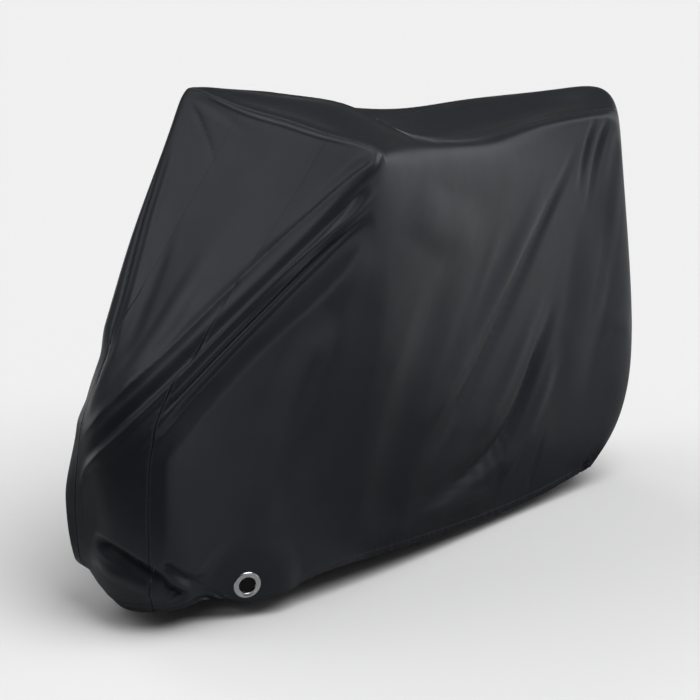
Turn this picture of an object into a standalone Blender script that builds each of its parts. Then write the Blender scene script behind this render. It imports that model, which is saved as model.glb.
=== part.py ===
"""Bicycle cover, hanging as it does over a bicycle, whose own parts are left out.

Three panels of coated cloth are sewn edge to edge: a long centre strip that runs from the front
hem, up over the handlebar, along the top and down to the rear hem, and a side panel on each side.
A flat reinforced patch in each side's hem holds a metal eyelet for a lock.

The cloth is described on a chart of two numbers. The station, 0 to 23, counts the rows of the
STATIONS table from the front hem to the rear hem. The column, -6 to 6, counts across: 0 is the
centre line, 1 the seam, 2 and 3 the two sides of the shoulder, 4 and 5 the wall and 6 the hem.
Positive columns are the near side, which faces -Y, and negative ones the far side.
Lengths are in metres, heights are measured from the ground, and the front is at -X.
"""
from collections import namedtuple
from math import cos, pi, sin

import bmesh
import bpy
import numpy as np
from mathutils import Vector
from mathutils.geometry import delaunay_2d_cdt

# ---------------------------------------------------------------- driving dimensions
CLOTH_THICKNESS = 0.002
SEAM_GAP = 0.0003
SHOULDER_RADIUS = 0.035
HANDLEBAR_END_X = -0.200
SAG_SHOULDER_RADIUS = 0.070       # softer behind the handlebar
SAG_X = 0.350
SHOULDER_SHARES = (0.5, 0.3)      # most of the way to the seam and to the hem it may take
WALL_SHARES = (0.33, 0.70)        # heights of the wall's two columns, down from the shoulder
WALL_EASING = ((4, 2), (5, 3))    # rounds of easing along the cover, by column of the wall
HOLD_POINT = (-0.030, 0.0, 1.097)

EYELET_CENTRE = (-0.539, 0.182, 0.088)
EYELET_FACING = (-0.42, 0.90, -0.12)
EYELET_BARREL_RADIUS = 0.0230
EYELET_SIDES = 32
PATCH_FLAT_RADIUS = 0.078
PATCH_BLEND_RADIUS = 0.160

# ---------------------------------------------------------------- form of the draped cloth
Station = namedtuple("Station", "centre_x centre_z seam_x seam_y seam_z "
                                "shoulder_x shoulder_y shoulder_z hem_x")
STATIONS = (
    Station(-0.762, 0.030, -0.732, 0.088, 0.048, -0.712, 0.120, 0.055, -0.620),  # front hem
    Station(-0.812, 0.075, -0.770, 0.125, 0.095, -0.745, 0.162, 0.110, -0.580),
    Station(-0.840, 0.180, -0.780, 0.140, 0.200, -0.765, 0.180, 0.210, -0.520),
    Station(-0.850, 0.310, -0.780, 0.140, 0.335, -0.765, 0.185, 0.350, -0.460),  # front wheel
    Station(-0.840, 0.460, -0.775, 0.140, 0.500, -0.745, 0.180, 0.510, -0.400),
    Station(-0.790, 0.580, -0.720, 0.140, 0.600, -0.670, 0.190, 0.620, -0.350),  # over the wheel
    Station(-0.560, 0.785, -0.530, 0.140, 0.790, -0.515, 0.280, 0.835, -0.290),
    Station(-0.355, 0.985, -0.350, 0.140, 0.980, -0.340, 0.335, 1.030, -0.240),
    Station(-0.270, 1.075, -0.270, 0.140, 1.070, -0.275, 0.355, 1.125, -0.210),
    Station(-0.235, 1.120, -0.240, 0.140, 1.110, -0.255, 0.358, 1.155, -0.180),  # handlebar
    Station(-0.150, 1.132, -0.160, 0.140, 1.127, -0.185, 0.335, 1.128, -0.120),
    Station(-0.050, 1.132, -0.070, 0.140, 1.112, -0.070, 0.306, 1.086, -0.060),  # behind the stem
    Station(0.025, 1.075, 0.005, 0.140, 1.055, 0.050, 0.280, 1.070, 0.000),
    Station(0.155, 1.005, 0.125, 0.140, 1.005, 0.165, 0.250, 1.058, 0.080),
    Station(0.330, 0.965, 0.290, 0.140, 0.990, 0.325, 0.210, 1.006, 0.220),      # sag of the top
    Station(0.510, 0.965, 0.480, 0.140, 0.995, 0.485, 0.165, 0.970, 0.340),
    Station(0.720, 0.966, 0.665, 0.135, 0.972, 0.645, 0.140, 0.935, 0.440),      # saddle
    Station(0.845, 0.997, 0.757, 0.130, 0.955, 0.720, 0.138, 0.930, 0.500),
    Station(0.888, 0.998, 0.772, 0.130, 0.918, 0.745, 0.140, 0.885, 0.540),      # rear top
    Station(0.865, 0.800, 0.785, 0.130, 0.750, 0.775, 0.150, 0.730, 0.580),
    Station(0.865, 0.495, 0.820, 0.130, 0.455, 0.810, 0.157, 0.440, 0.585),
    Station(0.850, 0.270, 0.821, 0.133, 0.251, 0.805, 0.159, 0.241, 0.605),      # rear wheel
    Station(0.770, 0.120, 0.760, 0.136, 0.118, 0.744, 0.156, 0.119, 0.620),
    Station(0.685, 0.028, 0.675, 0.126, 0.054, 0.678, 0.143, 0.056, 0.628),      # rear hem
)
LAST = len(STATIONS) - 1
SEAM, SHOULDER, HEM_COLUMN = 1.0, 3.0, 6.0

# How far the shoulder hangs lower on the near side than on the far side.
Drop = namedtuple("Drop", "station depth")
NEAR_DROPS = (
    Drop(6.0, 0.000),
    Drop(8.0, 0.018),
    Drop(9.0, 0.030),
    Drop(10.0, 0.024),
    Drop(11.0, 0.010),
    Drop(12.5, 0.000),
)

HemPoint = namedtuple("HemPoint", "x half_width height")
HEM = (
    HemPoint(-0.620, 0.138, 0.067),
    HemPoint(-0.580, 0.150, 0.063),
    HemPoint(-0.535, 0.169, 0.036),  # point below the eyelet
    HemPoint(-0.460, 0.199, 0.050),
    HemPoint(-0.395, 0.212, 0.061),
    HemPoint(-0.315, 0.216, 0.073),
    HemPoint(-0.220, 0.213, 0.066),
    HemPoint(-0.010, 0.205, 0.051),
    HemPoint(0.300, 0.165, 0.021),
    HemPoint(0.500, 0.155, 0.035),
    HemPoint(0.628, 0.148, 0.051),
)

# Folds: a path of (station, column) places, the height of the fold (ridges above 0, valleys
# below), its width to the left and right of the path as seen from outside, how crisp its crest
# is, from 0 to 1, and the share of its length over which it fades in and out.
Fold = namedtuple("Fold", "name path height left right crisp fade_in fade_out")
FOLDS = (
    Fold("handlebar ridge", ((8.75, -2.6), (8.95, -0.8), (8.95, 0.8), (9.1, 2.7)),
         0.006, 0.026, 0.022, 0.9, 0.10, 0.10),
    Fold("deck crest", ((9.8, -2.0), (10.5, -1.5), (10.9, -0.6), (11.05, 0.3), (11.08, 1.2), (11.35, 2.0)),
         0.004, 0.030, 0.026, 0.8, 0.25, 0.25),
    Fold("fall behind the deck", ((11.5, -1.2), (11.75, -0.4), (11.85, 0.5), (11.95, 1.3), (12.3, 2.2)),
         -0.008, 0.036, 0.050, 0.2, 0.30, 0.35),
    # bundle of folds from the near end of the handlebar across the front of the wheel
    Fold("facet edge valley",
         ((8.65, 2.4), (7.4, 2.0), (6.6, 1.7), (5.85, 1.0), (5.0, 0.4), (4.0, -0.4), (3.4, -1.1)),
         -0.016, 0.036, 0.030, 0.3, 0.12, 0.15),
    Fold("rounded ridge",
         ((8.95, 2.75), (7.6, 2.4), (6.7, 2.1), (5.75, 1.5), (4.95, 0.75), (3.65, -0.4), (3.0, -1.4)),
         0.009, 0.026, 0.026, 0.0, 0.12, 0.20),
    Fold("inner valley", ((7.6, 2.72), (6.9, 2.5), (6.2, 2.35), (5.6, 1.85), (4.8, 0.9), (3.5, -0.4)),
         -0.010, 0.024, 0.022, 0.3, 0.15, 0.25),
    Fold("pinched crease",
         ((8.6, 3.12), (7.6, 3.0), (7.0, 2.92), (6.05, 2.65), (5.4, 2.36), (4.45, 0.95), (3.5, -0.1),
          (2.8, -0.95)),
         0.013, 0.024, 0.020, 0.9, 0.12, 0.10),
    Fold("shadow valley",
         ((8.1, 3.32), (7.1, 3.2), (6.1, 3.05), (5.4, 2.9), (4.4, 2.0), (3.85, 1.0), (3.3, 0.3)),
         -0.014, 0.028, 0.050, 0.2, 0.15, 0.25),
    # creases below the far end of the handlebar
    Fold("short far crease", ((8.2, -1.95), (7.6, -1.35), (7.1, -0.8)), -0.003, 0.014, 0.016, 0.5, 0.25, 0.5),
    Fold("soft far crease", ((8.45, -1.95), (8.3, -1.2), (8.0, -0.4)), -0.002, 0.022, 0.022, 0.2, 0.25, 0.5),
    # toe of the cover, drawn in under the front wheel by the elastic hem
    Fold("toe valley", ((2.25, -0.3), (2.05, 0.3), (1.75, 0.8), (1.15, 2.1), (0.6, 3.4)),
         -0.020, 0.030, 0.026, 0.5, 0.15, 0.15),
    Fold("toe ridge", ((1.75, -0.4), (1.45, 0.5), (0.75, 1.65)), 0.008, 0.028, 0.028, 0.0, 0.3, 0.3),
    Fold("side toe valley", ((1.9, 1.4), (1.55, 3.0), (1.1, 4.6)), -0.014, 0.026, 0.030, 0.3, 0.2, 0.3),
    # near wall
    Fold("front wall swell", ((6.8, 3.6), (6.0, 3.85), (4.9, 4.4), (3.7, 5.0)),
         0.014, 0.075, 0.075, 0.0, 0.2, 0.3),
    Fold("front wall hollow", ((8.2, 3.6), (8.0, 4.1), (7.2, 4.7), (6.4, 5.8)),
         -0.014, 0.070, 0.080, 0.0, 0.3, 0.1),
    Fold("shoulder swell", ((10.2, 3.2), (11.8, 3.5), (13.4, 3.6)), 0.008, 0.080, 0.090, 0.0, 0.35, 0.35),
    Fold("middle hollow", ((12.4, 3.7), (11.6, 4.2), (10.7, 4.8), (9.5, 5.9)),
         -0.018, 0.080, 0.080, 0.0, 0.4, 0.1),
    Fold("saddle to hem ridge", ((15.5, 3.0), (14.9, 3.6), (14.2, 4.4), (12.4, 5.4)),
         0.016, 0.060, 0.050, 0.1, 0.25, 0.25),
    Fold("long saddle valley", ((15.85, 2.3), (15.45, 3.5), (14.6, 4.55), (13.7, 5.3)),
         -0.011, 0.030, 0.034, 0.4, 0.25, 0.25),
    Fold("rear wall ridge", ((15.65, 3.6), (15.1, 4.4), (14.5, 5.1)), 0.008, 0.034, 0.040, 0.1, 0.3, 0.3),
    Fold("deep rear valley",
         ((15.8, 3.9), (15.45, 4.4), (15.0, 5.0), (14.5, 5.4), (13.7, 5.65), (11.5, 5.85)),
         -0.020, 0.040, 0.044, 0.3, 0.25, 0.30),
    Fold("hem roll", ((14.6, 5.9), (12.8, 5.95), (10.8, 5.97)), 0.008, 0.020, 0.020, 0.0, 0.3, 0.3),
    Fold("rear swell", ((17.2, 3.4), (17.6, 4.2), (17.4, 5.2)), 0.012, 0.070, 0.060, 0.0, 0.3, 0.3),
    Fold("first saddle crease", ((16.25, 1.3), (16.05, 2.8), (15.95, 3.4), (15.8, 3.8)),
         -0.009, 0.022, 0.022, 0.4, 0.35, 0.5),
    Fold("second saddle crease", ((17.15, 1.3), (16.95, 2.6), (16.85, 3.2), (16.85, 3.9)),
         -0.009, 0.024, 0.022, 0.4, 0.35, 0.5),
    # far wall, whose folds differ from the near ones
    Fold("far cheek", ((3.7, -2.1), (2.7, -2.2), (1.6, -2.1), (0.8, -1.8)),
         0.022, 0.090, 0.090, 0.0, 0.4, 0.2),
    Fold("far knee hollow", ((5.3, -1.7), (4.6, -1.7), (3.7, -1.8)), -0.012, 0.080, 0.080, 0.0, 0.3, 0.3),
    Fold("far bar valley", ((8.2, -3.3), (6.8, -3.1), (5.6, -2.9), (4.4, -2.5)),
         -0.014, 0.034, 0.040, 0.3, 0.15, 0.3),
    Fold("far front hollow", ((8.6, -3.5), (7.6, -4.4), (6.6, -5.8)), -0.016, 0.080, 0.070, 0.0, 0.3, 0.1),
    Fold("far front swell", ((6.9, -3.7), (5.6, -4.5), (4.6, -5.2)), 0.013, 0.070, 0.070, 0.0, 0.3, 0.3),
    Fold("far middle ridge", ((10.8, -3.4), (10.3, -4.3), (9.4, -5.6)), 0.014, 0.060, 0.060, 0.1, 0.3, 0.2),
    Fold("far middle hollow", ((13.2, -3.5), (12.4, -4.3), (11.4, -5.8)),
         -0.018, 0.070, 0.070, 0.0, 0.3, 0.1),
    Fold("far saddle valley", ((16.5, -2.4), (15.7, -3.6), (14.4, -4.8), (13.2, -5.9)),
         -0.016, 0.036, 0.036, 0.4, 0.15, 0.1),
    Fold("far saddle ridge", ((15.4, -3.2), (14.6, -4.1), (13.3, -5.1)), 0.014, 0.050, 0.050, 0.2, 0.2, 0.3),
    Fold("far rear valley", ((17.0, -2.6), (16.9, -3.6), (16.2, -4.8), (15.4, -5.9)),
         -0.014, 0.036, 0.036, 0.3, 0.2, 0.1),
)
FOLD_SAMPLES = 18


def shoulder_side(shoulder, neighbour, share, radius):
    """The point beside the shoulder on the way to a neighbour."""
    step = neighbour - shoulder
    return shoulder + step * min(share, radius / np.linalg.norm(step))


def station_side(station):
    """Half a station's cage: centre, seam, two shoulder points, two wall points and hem."""
    hem_x = [point.x for point in HEM]
    half_width = np.interp(station.hem_x, hem_x, [point.half_width for point in HEM])
    height = np.interp(station.hem_x, hem_x, [point.height for point in HEM])
    centre = np.array([station.centre_x, 0.0, station.centre_z])
    seam = np.array([station.seam_x, station.seam_y, station.seam_z])
    shoulder = np.array([station.shoulder_x, station.shoulder_y, station.shoulder_z])
    hem = np.array([station.hem_x, half_width, height])
    radius = np.interp(station.shoulder_x, (HANDLEBAR_END_X, SAG_X), (SHOULDER_RADIUS, SAG_SHOULDER_RADIUS))
    upper = shoulder_side(shoulder, seam, SHOULDER_SHARES[0], radius)
    lower = shoulder_side(shoulder, hem, SHOULDER_SHARES[1], radius)
    wall = [lower + (hem - lower) * share for share in WALL_SHARES]
    return [centre, seam, upper, lower, *wall, hem]


def cage():
    """Control points of the whole cover, with one row and column added past each edge."""
    rows = []
    drops = np.interp(range(len(STATIONS)), [drop.station for drop in NEAR_DROPS],
                      [drop.depth for drop in NEAR_DROPS])
    for station, drop in zip(STATIONS, drops):
        far = station_side(station)
        lower = station._replace(shoulder_z=station.shoulder_z - drop)
        near = [point * (1, -1, 1) for point in station_side(lower)[1:]]
        rows.append(far[:0:-1] + [far[0]] + near)
    grid = np.array(rows)
    for column, rounds in WALL_EASING:
        for place in (int(HEM_COLUMN) - column, int(HEM_COLUMN) + column):
            for _ in range(rounds):
                line = grid[:, place].copy()
                grid[1:-1, place] = (line[:-2] + 2 * line[1:-1] + line[2:]) / 4
    grid = np.concatenate([2 * grid[:1] - grid[1:2], grid, 2 * grid[-1:] - grid[-2:-1]])
    first, last = 2 * grid[:, :1] - grid[:, 1:2], 2 * grid[:, -1:] - grid[:, -2:-1]
    return np.concatenate([first, grid, last], axis=1)


CAGE = cage()


def spline_weights(places, last):
    """Knot index and the four cubic B-spline weights at places from 0 to last."""
    places = np.clip(places, 0, last - 1e-9)
    index = np.floor(places).astype(int)
    f = places - index
    weights = ((1 - f) ** 3, 3 * f**3 - 6 * f**2 + 4, -3 * f**3 + 3 * f**2 + 3 * f + 1, f**3)
    return index, np.stack(weights, -1) / 6


def smooth_form(station, column):
    """The cover without its folds."""
    station, column = np.broadcast_arrays(np.asarray(station, float), np.asarray(column, float))
    row, row_weight = spline_weights(station, LAST)
    col, col_weight = spline_weights(column + HEM_COLUMN, 2 * HEM_COLUMN)
    total = 0
    for i in range(4):
        for j in range(4):
            weight = row_weight[..., i] * col_weight[..., j]
            total = total + weight[..., None] * CAGE[row + i, col + j]
    return total


def unit(vectors):
    return vectors / np.linalg.norm(vectors, axis=-1, keepdims=True)


def frame_of(form, station, column, step=0.02):
    """Unit directions along the cover, across it to the near side, and out of it."""
    along = form(np.minimum(station + step, LAST), column) - form(np.maximum(station - step, 0), column)
    across = (form(station, np.minimum(column + step, HEM_COLUMN))
              - form(station, np.maximum(column - step, -HEM_COLUMN)))
    along = unit(along)
    out = unit(np.cross(across, along))
    return along, unit(np.cross(along, out)), out


def smoothstep(x):
    x = np.clip(x, 0, 1)
    return x * x * (3 - 2 * x)


def fold_course(fold):
    """Evenly sampled points along a fold on the smooth form, with the directions out of it."""
    path = np.array(fold.path, float)
    knots = np.linspace(0, 1, len(path))
    samples = np.linspace(0, 1, FOLD_SAMPLES)
    station = np.interp(samples, knots, path[:, 0])
    column = np.interp(samples, knots, path[:, 1])
    return fold, smooth_form(station, column), frame_of(smooth_form, station, column)[2]


COURSES = [fold_course(fold) for fold in FOLDS]


def fold_relief(course, points):
    """Height that one fold adds at points of the smooth form."""
    fold, path, out = course
    relief = np.zeros(len(points))
    reach = max(fold.left, fold.right)
    near = np.all((points > path.min(axis=0) - reach) & (points < path.max(axis=0) + reach), axis=1)
    if not near.any():
        return relief
    best = np.full(near.sum(), np.inf)
    height = np.zeros(near.sum())
    for k in range(FOLD_SAMPLES - 1):
        edge = path[k + 1] - path[k]
        offset = points[near] - path[k]
        share = np.clip(offset @ edge / (edge @ edge), 0, 1)
        offset = offset - share[:, None] * edge
        distance = np.linalg.norm(offset, axis=1)
        width = np.where(offset @ np.cross(out[k], edge) > 0, fold.right, fold.left)
        x = np.clip(distance / width, 0, 1)
        bump = (1 - fold.crisp) * (1 - x * x) ** 2 + fold.crisp * (1 - x) ** 2
        place = (k + share) / (FOLD_SAMPLES - 1)
        bump = bump * smoothstep(place / fold.fade_in) * smoothstep((1 - place) / fold.fade_out)
        height = np.where(distance < best, fold.height * bump, height)
        best = np.minimum(distance, best)
    relief[near] = height
    return relief


def flatten_at_eyelets(points):
    """Press the cloth into a plane around each eyelet."""
    for side in (1, -1):
        centre = np.array(EYELET_CENTRE) * (1, side, 1)
        facing = unit(np.array(EYELET_FACING) * (1, side, 1))
        offset = points - centre
        reach = np.linalg.norm(offset, axis=-1)
        share = 1 - smoothstep((reach - PATCH_FLAT_RADIUS) / (PATCH_BLEND_RADIUS - PATCH_FLAT_RADIUS))
        points = points - facing * ((offset @ facing) * share)[..., None]
    return points


def cloth(station, column):
    """Outer face of the cover at chart places, with its folds."""
    station, column = np.broadcast_arrays(np.asarray(station, float), np.asarray(column, float))
    points = smooth_form(station, column)
    out = frame_of(smooth_form, station, column)[2].reshape(-1, 3)
    flat = points.reshape(-1, 3)
    relief = sum(fold_relief(course, flat) for course in COURSES)
    return flatten_at_eyelets((flat + out * relief[:, None]).reshape(points.shape))


# ---------------------------------------------------------------- meshes
LATTICE_SPACING = 0.070
SEAM_SPACING = 0.055
FOLD_SPACING = 0.050
EDGE_CLEARANCE = 0.024
SIDE_ROWS = (1.5, 2.0, 2.5, 3.0, 3.3, 3.6, 3.9, 4.15, 4.4, 4.65, 4.9, 5.2, 5.5, 5.75)
STRIP_ROWS = (-0.5, 0.0, 0.5)
RIM_COLUMNS = (2.0, 3.4, 4.8)
SIDE_MARGIN = 0.1
STRIP_HALF_WIDTH = 0.140
NORMAL_STEP = 0.10
LAYOUT_STEP = 0.05
LAYOUT_SAMPLES = 9
DENSE_SAMPLES = 600
ROW_CLEARANCE = 0.55 * LATTICE_SPACING
SIDE_CLEARANCE = 0.6

PATCH_HALF_WIDTH = 0.052
PATCH_SHOULDER = 0.022
PATCH_TOP = 0.058
PATCH_TIP = (-0.002, -0.050)
PATCH_ARCH_POINTS = 7
PATCH_STATIONS = (0.3, 5.0)       # stretch of the hem in which a patch is looked for
SEARCH_ROUNDS = 6

# Section of an eyelet from its axis outwards, heights above the cloth's outer face.
RingPoint = namedtuple("RingPoint", "radius height")
EYELET_SECTION = (
    RingPoint(0.0205, 0.0010),    # mouth
    RingPoint(0.0222, 0.0032),    # inner bead
    RingPoint(0.0245, 0.0022),    # groove
    RingPoint(0.0275, 0.0038),    # outer bead
    RingPoint(0.0310, 0.0030),
    RingPoint(0.0325, 0.0003),    # front edge, lying on the cloth
    RingPoint(EYELET_BARREL_RADIUS, 0.0003),    # barrel, through the cloth
    RingPoint(EYELET_BARREL_RADIUS, -0.0023),
    RingPoint(0.0300, -0.0023),   # washer on the inner face
    RingPoint(0.0300, -0.0038),
    RingPoint(0.0225, -0.0043),
    RingPoint(0.0205, -0.0030),
)


def dense_row(column, low=0.0, high=LAST):
    """Stations and running length along one column of the smooth form."""
    stations = np.linspace(low, high, DENSE_SAMPLES)
    points = smooth_form(stations, column)
    steps = np.linalg.norm(np.diff(points, axis=0), axis=1)
    return stations, np.concatenate([[0], np.cumsum(steps)])


def even_stations(column, spacing, low=0.0, high=LAST):
    """Stations spaced evenly along one column, both ends included."""
    stations, length = dense_row(column, low, high)
    count = max(1, round(length[-1] / spacing))
    return np.interp(np.linspace(0, length[-1], count + 1), length, stations)


def moved(place, offset, step=0.02):
    """Chart place reached from another by a short move in space, kept on the smooth form."""
    station, column = place
    low = np.array([max(station - step, 0), max(column - step, -HEM_COLUMN)])
    high = np.array([min(station + step, LAST), min(column + step, HEM_COLUMN)])
    along = smooth_form(high[0], column) - smooth_form(low[0], column)
    across = smooth_form(station, high[1]) - smooth_form(station, low[1])
    slopes = np.stack([along, across], axis=1) / (high - low)
    change = np.linalg.lstsq(slopes, offset, rcond=None)[0]
    station = min(max(station + change[0], 0), LAST)
    column = min(max(column + change[1], -HEM_COLUMN), HEM_COLUMN)
    return station, column


def even_fold_places(fold):
    """Chart places spaced evenly along a fold."""
    path = np.array(fold.path, float)
    share = np.linspace(0, 1, DENSE_SAMPLES)
    knots = np.linspace(0, 1, len(path))
    station = np.interp(share, knots, path[:, 0])
    column = np.interp(share, knots, path[:, 1])
    points = smooth_form(station, column)
    length = np.concatenate([[0], np.cumsum(np.linalg.norm(np.diff(points, axis=0), axis=1))])
    count = max(2, round(length[-1] / FOLD_SPACING))
    marks = np.linspace(0, length[-1], count + 1)
    return list(zip(np.interp(marks, length, station), np.interp(marks, length, column)))


def fold_side_places(fold, places):
    """Chart places along both sides of a fold, where it runs out into the cloth around it."""
    sides = []
    for i, place in enumerate(places):
        before = smooth_form(*places[max(i - 1, 0)])
        after = smooth_form(*places[min(i + 1, len(places) - 1)])
        out = frame_of(smooth_form, *place)[2]
        right = unit(np.cross(out, after - before))
        sides.append(moved(place, right * fold.right))
        sides.append(moved(place, -right * fold.left))
    return sides


def add_fold_sides(pieces, places, kept, low, high):
    """Add the places along the sides of folds that are clear of the kept points."""
    for fold, piece in pieces:
        for place in fold_side_places(fold, piece):
            point = cloth(*place)
            within = low < place[1] < high and 0 < place[0] < LAST
            if within and clear_of([point], kept, fold.left * SIDE_CLEARANCE)[0]:
                places.append(place)
                kept = np.concatenate([kept, [point]])
    return kept


def split_at(places, column):
    """A line of chart places, cut where it crosses a column, with the crossing in both pieces."""
    pieces, piece = [], [places[0]]
    for start, end in zip(places, places[1:]):
        if (start[1] - column) * (end[1] - column) < 0:
            share = (column - start[1]) / (end[1] - start[1])
            crossing = (start[0] + share * (end[0] - start[0]), column)
            pieces.append(piece + [crossing])
            piece = [crossing]
        piece.append(end)
    return pieces + [piece]


def fold_pieces(low, high):
    """Fold centre lines that lie between two columns, cut at the seams."""
    kept = []
    for fold in FOLDS:
        pieces = [even_fold_places(fold)]
        for seam in (-SEAM, SEAM):
            pieces = [part for piece in pieces for part in split_at(piece, seam)]
        for piece in pieces:
            middle = np.mean([place[1] for place in piece])
            if low < middle < high:
                kept.append((fold, piece))
    return kept


def seam_stations(seam):
    """Stations of the vertices that a seam's two panels share."""
    crossings = [place[0] for _, piece in fold_pieces(-HEM_COLUMN, HEM_COLUMN)
                 for place in piece if place[1] == seam]
    stations, length = dense_row(seam)
    crossing_lengths = np.interp(sorted(crossings), stations, length)
    marks = np.interp(even_stations(seam, SEAM_SPACING), stations, length)
    kept = [mark for mark in marks[1:-1]
            if all(abs(mark - crossing) > EDGE_CLEARANCE for crossing in crossing_lengths)]
    merged = np.array(sorted([0, length[-1]] + kept + list(crossing_lengths)))
    return np.interp(merged, length, stations)


def side_layout(places):
    """Near-true-size flat layout of a side panel, its front, top and rear edges folded outwards."""
    station, column = np.abs(np.array(places, float)).T
    ahead = smooth_form(np.minimum(station + LAYOUT_STEP, LAST), SHOULDER)[:, [0, 2]]
    behind = smooth_form(np.maximum(station - LAYOUT_STEP, 0), SHOULDER)[:, [0, 2]]
    along = unit(ahead - behind)
    outward = np.stack([-along[:, 1], along[:, 0]], axis=1)
    start = np.minimum(column, SHOULDER)
    reach = np.zeros(len(station))
    before = smooth_form(station, start)
    for share in np.linspace(0, 1, LAYOUT_SAMPLES)[1:]:
        after = smooth_form(station, start + (SHOULDER - start) * share)
        reach += np.linalg.norm(after - before, axis=1)
        before = after
    wall = smooth_form(station, np.maximum(column, SHOULDER))[:, [0, 2]]
    return wall + outward * reach[:, None]


def strip_layout(places):
    """Flat layout of the centre strip."""
    station, column = np.array(places, float).T
    stations, length = dense_row(0.0)
    return np.stack([np.interp(station, stations, length), column * STRIP_HALF_WIDTH], axis=1)


def inside(point, loop):
    """Whether a flat point lies inside a closed loop."""
    x, y = point
    hit = False
    for (x0, y0), (x1, y1) in zip(loop, np.roll(loop, -1, axis=0)):
        if (y0 > y) != (y1 > y) and x < x0 + (x1 - x0) * (y - y0) / (y1 - y0):
            hit = not hit
    return hit


def clear_of(points, others, distance):
    """Which points are farther than a distance from all the others."""
    if len(others) == 0:
        return np.ones(len(points), bool)
    gaps = np.linalg.norm(np.asarray(points)[:, None] - np.asarray(others)[None], axis=2)
    return gaps.min(axis=1) > distance


def triangulate(flat, loops, lines):
    """Triangles of a flat layout inside its outer loop and outside its other loops."""
    edges = []
    for loop in loops:
        edges += list(zip(loop, loop[1:] + loop[:1]))
    for line in lines:
        edges += list(zip(line, line[1:]))
    corners = [Vector(place) for place in flat]
    verts, _, faces, origins, _, _ = delaunay_2d_cdt(corners, edges, [], 0, 1e-7)
    source = [min(origin) if origin else None for origin in origins]
    if None in source:
        raise ValueError("fold lines cross each other")
    kept = []
    for face in faces:
        middle = sum((verts[i] for i in face), Vector((0, 0))) / 3
        in_loops = [inside(middle, flat[loop]) for loop in loops]
        if in_loops[0] and not any(in_loops[1:]):
            kept.append([source[i] for i in face])
    return kept


def add_solid(name, outer, normals, triangles, material):
    """A closed sheet: an outer face, an inner face one cloth thickness behind it, and its rims."""
    count = len(outer)
    inner = outer - normals * CLOTH_THICKNESS
    a, b, c = np.array(triangles).T
    facing = np.cross(outer[b] - outer[a], outer[c] - outer[a])
    turned = np.sum(facing * normals[a]) < 0
    faces = [triangle[::-1] if turned else triangle for triangle in map(tuple, triangles)]
    sides = {(a, b) for face in faces for a, b in zip(face, face[1:] + face[:1])}
    rims = [(a, b) for a, b in sides if (b, a) not in sides]
    back = [(c + count, b + count, a + count) for a, b, c in faces]
    edge = []
    for a, b in sorted(rims):
        if outer[a].sum() < outer[b].sum():
            edge += [(b, a, b + count), (a, a + count, b + count)]
        else:
            edge += [(b, a, a + count), (b, a + count, b + count)]
    mesh = bpy.data.meshes.new(name)
    mesh.from_pydata(np.concatenate([outer, inner]).tolist(), [], faces + back + edge)
    return add_object(name, mesh, material)


def add_object(name, mesh, material):
    """Put a mesh in the scene without its unused vertices, smooth except at its sharp edges."""
    work = bmesh.new()
    work.from_mesh(mesh)
    loose = [vertex for vertex in work.verts if not vertex.link_faces]
    bmesh.ops.delete(work, geom=loose, context="VERTS")
    work.to_mesh(mesh)
    work.free()
    mesh.materials.append(material)
    mesh.shade_smooth()
    mesh.set_sharp_from_angle(angle=pi / 4)
    item = bpy.data.objects.new(name, mesh)
    bpy.context.collection.objects.link(item)
    item.parent = ORIGIN
    return item


def cloth_points(places, shifts):
    """Outer points and normals at chart places, moved across the seam by their shifts."""
    station, column = np.array(places, float).T
    normals = frame_of(cloth, station, column, NORMAL_STEP)[2]
    across = frame_of(smooth_form, station, column)[1]
    across = unit(across - normals * np.sum(across * normals, axis=1)[:, None])
    return cloth(station, column) + across * np.array(shifts)[:, None], normals


# ---------------------------------------------------------------- eyelets and their patches
def eyelet_plane(side):
    """Centre of an eyelet and its unit directions: rearwards, upwards and out of the cloth."""
    mirror = (1, -side, 1)
    centre = np.array(EYELET_CENTRE) * mirror
    out = unit(np.array(EYELET_FACING) * mirror)
    rear = unit(np.cross((0, 0, 1), out) * side)
    return centre, rear, np.cross(out, rear) * side, out


def patch_corners(side):
    """Hem stations where a patch begins and ends, and their heights in the eyelet's plane."""
    centre, rear, up, _ = eyelet_plane(side)
    stations = np.linspace(*PATCH_STATIONS, DENSE_SAMPLES)
    hem = cloth(stations, side * HEM_COLUMN) - centre
    rearward, height = hem @ rear, hem @ up
    corners = []
    for edge in (-PATCH_HALF_WIDTH, PATCH_HALF_WIDTH):
        corners.append((np.interp(edge, rearward, stations), np.interp(edge, rearward, height)))
    return corners


def patch_arch(side):
    """Sides and top of a patch in the eyelet's plane, from its front corner to its rear one."""
    (_, front_height), (_, rear_height) = patch_corners(side)
    arch = [(-PATCH_HALF_WIDTH, front_height)]
    for k in range(PATCH_ARCH_POINTS):
        angle = pi * (1 - k / (PATCH_ARCH_POINTS - 1))
        rise = (PATCH_TOP - PATCH_SHOULDER) * sin(angle)
        arch.append((PATCH_HALF_WIDTH * cos(angle), PATCH_SHOULDER + rise))
    return np.array(arch + [(PATCH_HALF_WIDTH, rear_height)])


def grown(line, amount):
    """A flat line moved to its left by an amount."""
    ahead = np.concatenate([line[1:], 2 * line[-1:] - line[-2:-1]])
    behind = np.concatenate([2 * line[:1] - line[1:2], line[:-1]])
    before, after = unit(line - behind), unit(ahead - line)
    mitre = np.stack([-(before + after)[:, 1], (before + after)[:, 0]], axis=1)
    length = 1 + np.sum(before * after, axis=1)
    return line + mitre / length[:, None] * amount


def in_plane(side, flat):
    """Points in space at flat places in an eyelet's plane."""
    centre, rear, up, _ = eyelet_plane(side)
    return centre + flat[:, :1] * rear + flat[:, 1:] * up


def ring_of(radius, count):
    """Flat places round a circle."""
    return np.array([(radius * cos(2 * pi * k / count), radius * sin(2 * pi * k / count))
                     for k in range(count)])


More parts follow.
